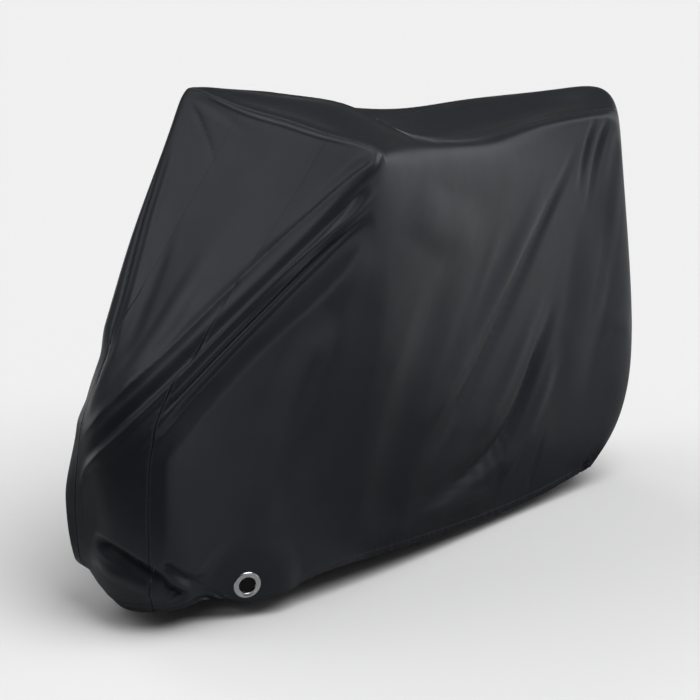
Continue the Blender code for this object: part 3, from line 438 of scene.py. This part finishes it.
# Between these columns and stations the walls hang evenly.
NEAR_WALL_TOP, FAR_WALL_TOP = 2.6, 3.0
WALL_TOP_BLEND = 0.9
WALL_START, WALL_START_BLEND = 4.5, 2.5
WALL_END, WALL_END_BLEND = 17.5, 3.0
WALL_DRAW = 30                    # grid rows over which the wall is drawn out
DRAW_REACH = 3                    # how many times that far it is weighed

# Grid of each piece of cloth: vertices along and across. It is finer beside the shoulder.
PANEL_GRID = (500, 90)
STRIP_GRID = (540, 36)
SHOULDER_GAIN, SHOULDER_REACH = 1.6, 0.5
GRID_SAMPLES = 2001

RIM_TURN = radians(75)
CRISP_CREASE = 0.3                # folds at least this crisp are marked in the material
NO_CREASE = 1.0                   # distance that stands for none near

# Stations between which the seams are drawn flat, and how much they are.
FAR_TAUT_START, NEAR_TAUT_START, TAUT_START_BLEND = 4.6, 5.2, 0.8
TAUT_END, TAUT_END_BLEND = 10.6, 0.6
TAUT_SHARE = 0.95


def running_length(points, axis):
    """Length along one axis of a grid of points, from its first row."""
    steps = np.linalg.norm(np.diff(points, axis=axis), axis=-1)
    first = np.zeros_like(np.take(steps, [0], axis=axis))
    return np.cumsum(np.concatenate([first, steps], axis=axis), axis=axis)


def grid_normals(points):
    """Unit normals of a grid of points whose columns run to the near side."""
    along = np.gradient(points, axis=0)
    across = np.gradient(points, axis=1)
    return unit(np.cross(across, along))


def hung_wall(station, column):
    """The smooth form, with the wall drawn out evenly along the cover between its folds."""
    points = smooth_form(station, column)
    ends = DRAW_REACH * WALL_DRAW
    steps = np.arange(-ends, ends + 1)
    kernel = np.exp(-0.5 * (steps / WALL_DRAW) ** 2)
    kernel /= kernel.sum()
    first = 2 * points[:1] - points[ends:0:-1]
    last = 2 * points[-1:] - points[-2:-ends - 2:-1]
    padded = np.concatenate([first, points, last])
    even = sum(weight * padded[i:i + len(points)] for i, weight in enumerate(kernel))
    top = np.where(column > 0, NEAR_WALL_TOP, FAR_WALL_TOP)
    share = smoothstep((abs(column) - top) / WALL_TOP_BLEND)
    share = share * smoothstep((station - WALL_START) / WALL_START_BLEND)
    share = share * smoothstep((WALL_END - station) / WALL_END_BLEND)
    return points + (even - points) * share[..., None]


def draped(station, column):
    """Outer face of the cloth with its folds and creases, on a grid of chart places."""
    points = hung_wall(station, column)
    out = grid_normals(points).reshape(-1, 3)
    flat = points.reshape(-1, 3)
    relief = sum(fold_relief(course, flat) for course in COURSES)
    return flatten_at_eyelets((flat + out * relief[:, None]).reshape(points.shape))


def gathered(points, station, along, edge_distance):
    """The cloth with the ripples of the elastic hems, strongest at the edge."""
    out = grid_normals(points)
    for gather in GATHERS:
        within = (smoothstep((station - gather.low) / GATHER_FADE)
                  * smoothstep((gather.high - station) / GATHER_FADE))
        fall = np.exp(-(edge_distance / gather.reach) ** 2) * within
        turns = along / gather.wavelength
        wander = (GATHER_WOBBLE * np.sin(turns * WOBBLE_RATE + WOBBLE_START)
                  + GATHER_DRIFT * np.sin(along * DRIFT_RATE))
        points = points + out * (gather.amplitude * fall * np.sin(2 * pi * turns + wander))[..., None]
    return points


def eyelet_place(side):
    """Centre of an eyelet and its unit directions: rearwards, upwards and out of the cloth."""
    mirror = (1, -side, 1)
    out = unit(np.array(EYELET_FACING) * mirror)
    rear = unit(np.cross((0, 0, 1), out) * side)
    return np.array(EYELET_CENTRE) * mirror, rear, np.cross(out, rear) * side, out


def grid_columns(low, high, count):
    """Columns from low to high, closest together beside the shoulder."""
    fine = np.linspace(low, high, GRID_SAMPLES)
    density = 1 + SHOULDER_GAIN * np.exp(-((abs(fine) - SHOULDER) / SHOULDER_REACH) ** 2)
    total = np.cumsum(density) - density[0]
    return np.interp(np.linspace(0, total[-1], count), total, fine)


def edge_distances(along, across, side):
    """Distances to the nearest seam and to the nearest hem. The strip's side is 0."""
    end = np.minimum(along, along[-1:, :] - along)
    from_low, from_high = across, across[:, -1:] - across
    if side == 0:
        return np.minimum(from_low, from_high), end
    if side > 0:
        return from_low, np.minimum(from_high, end)
    return from_high, np.minimum(from_low, end)


def open_seams(points, column):
    """Draw the edges at a seam back by half of the seam's gap."""
    sideways = unit(np.gradient(points, axis=1))
    for edge, sign in ((0, 1), (-1, -1)):
        if abs(column[0, edge]) == SEAM:
            points[:, edge] += sideways[:, edge] * sign * SEAM_GAP / 2


def sheet_quads(outer, grid, side):
    """Quads of a grid of points, left out where the eyelet's hole is."""
    number = np.arange(len(outer)).reshape(grid)
    corners = (number[:-1, :-1], number[:-1, 1:], number[1:, 1:], number[1:, :-1])
    quads = np.stack(corners, axis=-1).reshape(-1, 4)
    if side:
        distance = np.linalg.norm(outer - eyelet_place(side)[0], axis=1)
        quads = quads[(distance[quads] > HOLE_RADIUS).all(axis=1)]
    return quads


def closed_faces(quads, count):
    """Faces of an outer sheet, of the inner one behind it, and of the rims between the two."""
    a, b, c, d = quads.T
    edges = np.concatenate([np.stack(pair, axis=1) for pair in ((a, b), (b, c), (c, d), (d, a))])
    key = edges[:, 0].astype(np.int64) * count + edges[:, 1]
    back_key = edges[:, 1].astype(np.int64) * count + edges[:, 0]
    rim = edges[~np.isin(key, back_key)]
    rims = np.stack([rim[:, 1], rim[:, 0], rim[:, 0] + count, rim[:, 1] + count], axis=1)
    return np.concatenate([quads, quads[:, ::-1] + count, rims])


def seam_shows(station, far):
    """How clearly a seam shows: it is drawn flat where the cloth is taut over the handlebar."""
    start = FAR_TAUT_START if far else NEAR_TAUT_START
    taut = smoothstep((station - start) / TAUT_START_BLEND)
    taut = taut * (1 - smoothstep((station - TAUT_END) / TAUT_END_BLEND))
    return 1 - TAUT_SHARE * taut


def nearest_crease(points):
    """Distance to the nearest crisp crest or valley line, and how crisp it is there.

    Valleys count below 0.
    """
    best = np.full(len(points), NO_CREASE)
    depth = np.zeros(len(points))
    for fold, path, _ in COURSES:
        if fold.crisp < CRISP_CREASE:
            continue
        for k in range(FOLD_SAMPLES - 1):
            share, offset = along_edge(path, k, points)
            distance = np.linalg.norm(offset, axis=1)
            left = fade(fold, (k + share) / (FOLD_SAMPLES - 1))
            nearer = distance < best
            depth = np.where(nearer, np.sign(fold.height) * fold.crisp * left, depth)
            best = np.where(nearer, distance, best)
    return best, depth


def add_sheet(name, low, high, grid, material, side=0):
    """A piece of cloth between two columns, as a thin sheet with an outer and an inner face.

    The side is 1 for the near panel, -1 for the far one and 0 for the strip.
    """
    station, column = np.meshgrid(np.linspace(0, LAST, grid[0]), grid_columns(low, high, grid[1]),
                                  indexing="ij")
    points = draped(station, column)
    along = running_length(points, 0)
    seam_distance, hem_distance = edge_distances(along, running_length(points, 1), side)
    points = gathered(points, station, along, hem_distance)
    normals = grid_normals(points)
    open_seams(points, column)
    outer = points.reshape(-1, 3)
    inner = outer - normals.reshape(-1, 3) * SHEET_THICKNESS
    faces = closed_faces(sheet_quads(outer, grid, side), len(outer))

    mesh = bpy.data.meshes.new(name)
    mesh.from_pydata((np.concatenate([outer, inner]) - HOLD_POINT).tolist(), [], faces.tolist())
    crease_distance, crease_depth = nearest_crease(smooth_form(station, column).reshape(-1, 3))
    for attribute, values in (("seam_distance", seam_distance), ("hem_distance", hem_distance),
                              ("along", along), ("seam_shows", seam_shows(station, side < 0)),
                              ("crease_distance", crease_distance), ("crease_depth", crease_depth)):
        store(mesh, attribute, np.tile(values.ravel(), 2))
    return finish_mesh(name, mesh, material)


def store(mesh, name, values):
    attribute = mesh.attributes.new(name, "FLOAT", "POINT")
    attribute.data.foreach_set("value", values.astype(np.float32))


def put_in_scene(name, data):
    item = bpy.data.objects.new(name, data)
    bpy.context.collection.objects.link(item)
    return item


def finish_mesh(name, mesh, material):
    """Put a mesh in the scene, smooth shaded and without unused vertices."""
    used = np.zeros(len(mesh.vertices), bool)
    corners = np.empty(len(mesh.loops), np.int32)
    mesh.loops.foreach_get("vertex_index", corners)
    used[corners] = True
    mesh.update()
    mesh.materials.append(material)
    mesh.shade_smooth()
    piece = put_in_scene(name, mesh)
    if not used.all():
        drop_loose(mesh, used)
    sharpen_rims(mesh)
    return piece


def drop_loose(mesh, used):
    """Delete the vertices that no face uses."""
    work = bmesh.new()
    work.from_mesh(mesh)
    work.verts.ensure_lookup_table()
    loose = [work.verts[i] for i in np.flatnonzero(~used)]
    bmesh.ops.delete(work, geom=loose, context="VERTS")
    work.to_mesh(mesh)
    work.free()


def sharpen_rims(mesh):
    """Make the edges sharp where the surface turns steeply, as it does at the rims."""
    work = bmesh.new()
    work.from_mesh(mesh)
    for edge in work.edges:
        if len(edge.link_faces) == 2 and edge.calc_face_angle(0) > RIM_TURN:
            edge.smooth = False
    work.to_mesh(mesh)
    work.free()


# ---------------------------------------------------------------- eyelets
HOLE_RADIUS = 0.0236
EYELET_SIDES = 96
RingPoint = namedtuple("RingPoint", "radius height")
EYELET_SECTION = (
    RingPoint(0.0205, -0.0030),
    RingPoint(0.0204, 0.0006),    # mouth
    RingPoint(0.0208, 0.0020),
    RingPoint(0.0216, 0.0029),
    RingPoint(0.0226, 0.0032),    # inner bead
    RingPoint(0.0236, 0.0028),
    RingPoint(0.0244, 0.0021),    # groove
    RingPoint(0.0254, 0.0023),
    RingPoint(0.0270, 0.0034),
    RingPoint(0.0290, 0.0040),    # outer bead
    RingPoint(0.0311, 0.0038),
    RingPoint(0.0327, 0.0029),
    RingPoint(0.0337, 0.0016),
    RingPoint(0.0341, 0.0003),    # front edge, lying on the cloth
    RingPoint(0.0230, 0.0003),
    RingPoint(0.0230, -0.0023),
    RingPoint(0.0300, -0.0023),   # washer on the inner face
    RingPoint(0.0302, -0.0032),
    RingPoint(0.0290, -0.0040),
    RingPoint(0.0225, -0.0043),
)


def add_eyelet(side, name, material):
    """The section turned round the eyelet's axis. The side is 1 for the near eyelet."""
    centre, rear, up, out = eyelet_place(side)
    angles = np.arange(EYELET_SIDES) * 2 * pi / EYELET_SIDES
    points = []
    for section in EYELET_SECTION:
        ring = section.radius * (np.cos(angles)[:, None] * rear + np.sin(angles)[:, None] * up)
        points.append(centre + ring + out * section.height - HOLD_POINT)
    rings = len(EYELET_SECTION)
    faces = []
    for i in range(rings):
        for k in range(EYELET_SIDES):
            here, there = i * EYELET_SIDES, (i + 1) % rings * EYELET_SIDES
            after = (k + 1) % EYELET_SIDES
            quad = (here + k, here + after, there + after, there + k)
            faces.append(quad if side < 0 else quad[::-1])
    mesh = bpy.data.meshes.new(name)
    mesh.from_pydata(np.concatenate(points).tolist(), [], faces)
    return finish_mesh(name, mesh, material)


# ---------------------------------------------------------------- materials
WEAVE_PITCH, WEAVE_HEIGHT = 0.0011, 0.000006
STITCH_PITCH = 0.0036
STITCH_WIDTH, STITCH_HEIGHT = 0.0006, 0.0004
STITCH_START, STITCH_END = (0.08, 0.20), (0.62, 0.74)  # rise and fall, in shares of the pitch
SEAM_STITCH = 0.0045              # from the seam
HEM_FOLD = 0.016                  # depth of the folded hem, where it is stitched
HEM_STEP_WIDTH, HEM_STEP_HEIGHT = 0.003, 0.0006

# Rises and dips beside a line, and puckers, which are as uneven as a noise of the given scale.
Bell = namedtuple("Bell", "centre width height")
SEAM_GROOVE = Bell(0.0, 0.0016, -0.0016)
SEAM_ROLL = Bell(0.0055, 0.0035, 0.0003)
HEM_LINE = Bell(HEM_FOLD, 0.0012, -0.0006)
CREST = Bell(0.0, 0.0045, 0.0016)
Puckers = namedtuple("Puckers", "centre width scale height")
SEAM_PUCKERS = Puckers(0.0, 0.014, 70.0, 0.0024)
HEM_PUCKERS = Puckers(0.004, 0.014, 60.0, 0.0030)
Unevenness = namedtuple("Unevenness", "scale height")
SURFACE = (Unevenness(5.0, 0.0040), Unevenness(16.0, 0.0007), Unevenness(60.0, 0.00008))

CLOTH_DARK, CLOTH_LIGHT = (0.0088, 0.0096, 0.0122, 1), (0.0110, 0.0120, 0.0152, 1)
THREAD_COLOUR = (0.030, 0.030, 0.033, 1)
MOTTLE_SCALE, MOTTLE_RANGE = 9.0, (0.30, 0.75)
CLOTH_ROUGHNESS, ROUGHNESS_SPREAD, ROUGHNESS_SCALE = 0.36, 0.10, 12.0
THREAD_ROUGHNESS = 0.2            # added to the cloth's
CLOTH_SPECULAR = 0.5
SPECULAR_TINT = (0.86, 0.91, 1.0, 1)
SHEEN_WEIGHT, SHEEN_ROUGHNESS = 0.03, 0.5
# Painted shade in pinched valleys and seams: how much specular they lose, and how wide.
PAINTED_SHADE_LOSS, PAINTED_SHADE_WIDTH = 0.45, 0.0030

METAL_COLOUR = (0.83, 0.84, 0.86, 1)
METAL_ROUGHNESS, METAL_SPREAD, METAL_GRAIN = 0.12, 0.12, 260.0
METAL_WAVES, METAL_WAVE_HEIGHT = 420.0, 0.00004
EULER = 2.718


class Nodes:
    """Short-hand for building a material's node tree."""

    def __init__(self, name):
        self.material = bpy.data.materials.new(name)
        self.material.use_nodes = True
        self.tree = self.material.node_tree
        self.shader = self.tree.nodes["Principled BSDF"]

    def link(self, value, socket):
        """Link a node's output to a socket, or set the socket to a plain value."""
        if isinstance(value, bpy.types.NodeSocket):
            self.tree.links.new(value, socket)
        else:
            socket.default_value = value

    def set(self, name, value):
        self.link(value, self.shader.inputs[name])

    def math(self, operation, first, second=0.0):
        node = self.tree.nodes.new("ShaderNodeMath")
        node.operation = operation
        self.link(first, node.inputs[0])
        self.link(second, node.inputs[1])
        return node.outputs[0]

    def attribute(self, name):
        node = self.tree.nodes.new("ShaderNodeAttribute")
        node.attribute_name = name
        return node.outputs["Fac"]

    def place(self):
        return self.tree.nodes.new("ShaderNodeTexCoord").outputs["Object"]

    def bell(self, distance, centre, width):
        """1 at the centre and 0 far from it, smooth between."""
        x = self.math("DIVIDE", self.math("SUBTRACT", distance, centre), width)
        return self.math("POWER", EULER, self.times(self.times(x, x), -1.0))

    def noise(self, vector, scale, detail=2.0, roughness=0.5):
        node = self.tree.nodes.new("ShaderNodeTexNoise")
        node.inputs["Scale"].default_value = scale
        node.inputs["Detail"].default_value = detail
        node.inputs["Roughness"].default_value = roughness
        self.link(vector, node.inputs["Vector"])
        return node.outputs[0]

    def uneven(self, vector, scale, height, detail=2.0):
        """A noise of a given height, in metres, round 0."""
        return self.times(self.math("SUBTRACT", self.noise(vector, scale, detail), 0.5), height)

    def add(self, *values):
        total = values[0]
        for value in values[1:]:
            total = self.math("ADD", total, value)
        return total

    def times(self, first, second):
        return self.math("MULTIPLY", first, second)

    def rest(self, value):
        """What a share leaves of 1."""
        return self.math("SUBTRACT", 1.0, value)

    def ramp(self, value, low, high):
        """0 below low, 1 above high, smooth between."""
        node = self.tree.nodes.new("ShaderNodeMapRange")
        node.interpolation_type = "SMOOTHSTEP"
        node.inputs["From Min"].default_value = low
        node.inputs["From Max"].default_value = high
        self.link(value, node.inputs["Value"])
        return node.outputs[0]

    def mix(self, share, first, second):
        """A colour between two."""
        node = self.tree.nodes.new("ShaderNodeMix")
        node.data_type = "RGBA"
        self.link(share, node.inputs["Factor"])
        self.link(first, node.inputs["A"])
        self.link(second, node.inputs["B"])
        return node.outputs["Result"]

    def bump(self, height):
        """Shade the surface as if it had this relief, in metres."""
        node = self.tree.nodes.new("ShaderNodeBump")
        node.inputs["Distance"].default_value = 1.0
        self.link(height, node.inputs["Height"])
        self.set("Normal", node.outputs[0])


def cloth_material():
    n = Nodes("coated cloth")
    place = n.place()
    seam, hem = n.attribute("seam_distance"), n.attribute("hem_distance")
    along, shows = n.attribute("along"), n.attribute("seam_shows")
    crease, crease_depth = n.attribute("crease_distance"), n.attribute("crease_depth")

    def relief(distance, bell):
        return n.times(n.bell(distance, bell.centre, bell.width), bell.height)

    def puckers(distance, kind):
        return n.times(n.bell(distance, kind.centre, kind.width),
                       n.uneven(place, kind.scale, kind.height, 1.0))

    def stitches(distance, centre):
        """Dashes along a line."""
        dash = n.math("FRACT", n.math("DIVIDE", along, STITCH_PITCH))
        lit = n.times(n.ramp(dash, *STITCH_START), n.rest(n.ramp(dash, *STITCH_END)))
        return n.times(n.bell(distance, centre, STITCH_WIDTH), lit)

    thread = n.math("MAXIMUM", n.times(stitches(seam, SEAM_STITCH), shows), stitches(hem, HEM_FOLD))
    sewn_seam = n.times(n.add(puckers(seam, SEAM_PUCKERS), relief(seam, SEAM_GROOVE),
                              relief(seam, SEAM_ROLL)), shows)
    hem_step = n.times(n.rest(n.ramp(hem, HEM_FOLD, HEM_FOLD + HEM_STEP_WIDTH)), HEM_STEP_HEIGHT)
    crest = n.times(n.times(n.bell(crease, CREST.centre, CREST.width), crease_depth), CREST.height)
    surface = n.add(*(n.uneven(place, *kind) for kind in SURFACE))
    n.bump(n.add(sewn_seam, puckers(hem, HEM_PUCKERS), hem_step, relief(hem, HEM_LINE), crest,
                 surface, weave(n, place), n.times(thread, STITCH_HEIGHT)))

    mottle = n.ramp(n.noise(place, MOTTLE_SCALE, 3.0), *MOTTLE_RANGE)
    n.set("Base Color", n.mix(thread, n.mix(mottle, CLOTH_DARK, CLOTH_LIGHT), THREAD_COLOUR))
    spread = n.times(n.noise(place, ROUGHNESS_SCALE, 3.0), ROUGHNESS_SPREAD)
    n.set("Roughness", n.add(CLOTH_ROUGHNESS, spread, n.times(thread, THREAD_ROUGHNESS)))
    # painted shade: the specular level drops along crisp valleys and along the seam grooves
    valley = n.math("MAXIMUM", n.times(crease_depth, -1.0), 0.0)
    pinch = n.math("MAXIMUM", n.times(n.bell(crease, 0.0, PAINTED_SHADE_WIDTH), valley),
                   n.times(n.bell(seam, 0.0, SEAM_GROOVE.width), shows))
    n.set("Specular IOR Level", n.math("SUBTRACT", CLOTH_SPECULAR, n.times(pinch, PAINTED_SHADE_LOSS)))
    n.set("Specular Tint", SPECULAR_TINT)
    n.set("Sheen Weight", SHEEN_WEIGHT)
    n.set("Sheen Roughness", SHEEN_ROUGHNESS)
    return n.material


def weave(n, place):
    """The faint grid of the woven threads."""
    split = n.tree.nodes.new("ShaderNodeSeparateXYZ")
    n.link(place, split.inputs[0])
    waves = [n.math("SINE", n.times(split.outputs[axis], 2 * pi / WEAVE_PITCH)) for axis in range(3)]
    return n.times(n.times(n.add(waves[0], waves[1]), waves[2]), WEAVE_HEIGHT)


def metal_material():
    n = Nodes("polished eyelet metal")
    place = n.place()
    n.set("Metallic", 1.0)
    n.set("Base Color", METAL_COLOUR)
    spread = n.times(n.noise(place, METAL_GRAIN, 3.0, 0.6), METAL_SPREAD)
    n.set("Roughness", n.add(METAL_ROUGHNESS, spread))
    n.bump(n.times(n.noise(place, METAL_WAVES), METAL_WAVE_HEIGHT))
    return n.material


# ---------------------------------------------------------------- pieces
CLOTH = cloth_material()
METAL = metal_material()

strip = add_sheet("strip_cloth", -SEAM, SEAM, STRIP_GRID, CLOTH)
near_panel = add_sheet("near_side_cloth", SEAM, HEM_COLUMN, PANEL_GRID, CLOTH, 1)
far_panel = add_sheet("far_side_cloth", -HEM_COLUMN, -SEAM, PANEL_GRID, CLOTH, -1)
near_eyelet = add_eyelet(1, "near_eyelet_ring", METAL)
far_eyelet = add_eyelet(-1, "far_eyelet_ring", METAL)

for piece, nodes in ((strip, ["centre_strip"]), (near_panel, ["near_side_panel", "near_eyelet_patch"]),
                     (far_panel, ["far_side_panel", "far_eyelet_patch"]),
                     (near_eyelet, ["near_eyelet"]), (far_eyelet, ["far_eyelet"])):
    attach(piece, "root")
    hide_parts(*nodes)

# ---------------------------------------------------------------- studio
GROUND = -HOLD_POINT[2]
FLOOR_HALF_SIZE = 30.0
FLOOR_SHADE, FLOOR_ROUGHNESS, FLOOR_SPECULAR = 0.93, 0.9, 0.1
WHITE = (1, 1, 1, 1)
SKY_STRENGTH = 0.08

# Soft lights far away: where they shine from, how wide they look, in degrees, and their strength.
Softbox = namedtuple("Softbox", "name source width strength")
SOFTBOXES = (
    Softbox("front key", (0.13, -0.42, 0.90), 50.0, 1.80),
    Softbox("overhead", (-0.05, 0.10, 1.00), 70.0, 0.52),
    Softbox("back left", (-0.56, 0.56, 0.62), 50.0, 0.48),
    Softbox("right", (0.90, -0.25, 0.25), 40.0, 0.54),
    Softbox("back top", (0.12, 0.68, 0.74), 20.0, 0.22),
)

# Cards and mats round the stage that only show as reflections in the cloth and the eyelets.
# Each is a parallelogram from its corner along two sides.
Card = namedtuple("Card", "name corner side_one side_two shade")
CARDS = (
    Card("front card", (-1.30, -0.60, 0.000), (0.0, 2.6, 0.0), (0.0, 0.0, 0.9), 0.01),
    Card("grey mat", (-2.20, -1.90, 0.004), (2.1, 0.0, 0.0), (0.0, 2.2, 0.0), 0.32),
    Card("dark mat", (-0.10, -1.90, 0.004), (0.95, 0.0, 0.0), (0.0, 2.2, 0.0), 0.08),
    Card("right mat", (0.85, -1.90, 0.004), (0.75, 0.0, 0.0), (0.0, 2.2, 0.0), 0.40),
    Card("far right mat", (1.60, -3.60, 0.004), (2.4, 0.0, 0.0), (0.0, 3.3, 0.0), 0.66),
    Card("back mat", (-1.20, 0.35, 0.004), (1.8, 0.0, 0.0), (0.0, 1.7, 0.0), 0.06),
    Card("back card", (-4.00, 3.50, 1.000), (7.0, 0.0, 0.0), (0.0, 0.0, 1.7), 0.01),
)

# The camera was fitted outside this script to the photograph's places of the handlebar, saddle,
# wheels and hem.
CAMERA_AZIMUTH, CAMERA_ELEVATION = radians(-44.0), radians(19.5)  # azimuth from -Y, towards +X
CAMERA_DISTANCE = 12.0
CAMERA_TARGET = (-0.03, 0.0, 0.497)
CAMERA_LENS, CAMERA_SENSOR = 257.8, 36.0  # in millimetres
CAMERA_REACH = 100.0


def paint(name, shade, specular):
    """The nodes of a plain grey material."""
    n = Nodes(name)
    n.set("Base Color", (shade, shade, shade, 1))
    n.set("Specular IOR Level", specular)
    return n


def add_rectangle(name, mesh_name, corners, material):
    """One face of the stage."""
    mesh = bpy.data.meshes.new(mesh_name)
    mesh.from_pydata(corners, [], [(0, 1, 2, 3)])
    mesh.materials.append(material)
    return put_in_scene(name, mesh)


def add_floor():
    look = paint("studio floor", FLOOR_SHADE, FLOOR_SPECULAR)
    look.set("Roughness", FLOOR_ROUGHNESS)
    size = FLOOR_HALF_SIZE
    corners = [(x * size, y * size, GROUND) for x, y in ((-1, -1), (1, -1), (1, 1), (-1, 1))]
    floor = add_rectangle("studio_floor", "studio floor", corners, look.material)


def aim(thing, place, target):
    thing.location = place
    thing.rotation_euler = (Vector(target) - Vector(place)).to_track_quat("-Z", "Y").to_euler()


def add_lights():
    for box in SOFTBOXES:
        light = bpy.data.lights.new(box.name, "SUN")
        light.energy = box.strength
        light.angle = radians(box.width)
        aim(put_in_scene(box.name, light), box.source, (0, 0, 0))
    world = bpy.data.worlds.new("studio")
    world.use_nodes = True
    world.node_tree.nodes["Background"].inputs["Color"].default_value = WHITE
    world.node_tree.nodes["Background"].inputs["Strength"].default_value = SKY_STRENGTH
    bpy.context.scene.world = world


def add_cards():
    for card in CARDS:
        corner = np.array(card.corner) - HOLD_POINT
        one, two = np.array(card.side_one), np.array(card.side_two)
        corners = [corner, corner + one, corner + one + two, corner + two]
        item = add_rectangle(card.name, card.name, corners, paint(card.name, card.shade, 0.0).material)
        item.visible_camera = False
        item.visible_diffuse = False
        item.visible_shadow = False


def add_camera():
    camera = bpy.data.cameras.new("camera")
    camera.sensor_width = CAMERA_SENSOR
    camera.lens = CAMERA_LENS
    camera.clip_end = CAMERA_REACH
    item = put_in_scene("camera", camera)
    level = cos(CAMERA_ELEVATION)
    back = Vector((sin(CAMERA_AZIMUTH) * level, -cos(CAMERA_AZIMUTH) * level, sin(CAMERA_ELEVATION)))
    target = Vector(CAMERA_TARGET) - Vector(HOLD_POINT)
    aim(item, target + back * CAMERA_DISTANCE, target)
    bpy.context.scene.camera = item


add_floor()
add_lights()
add_cards()
add_camera()
bpy.context.scene.view_settings.view_transform = "Standard"
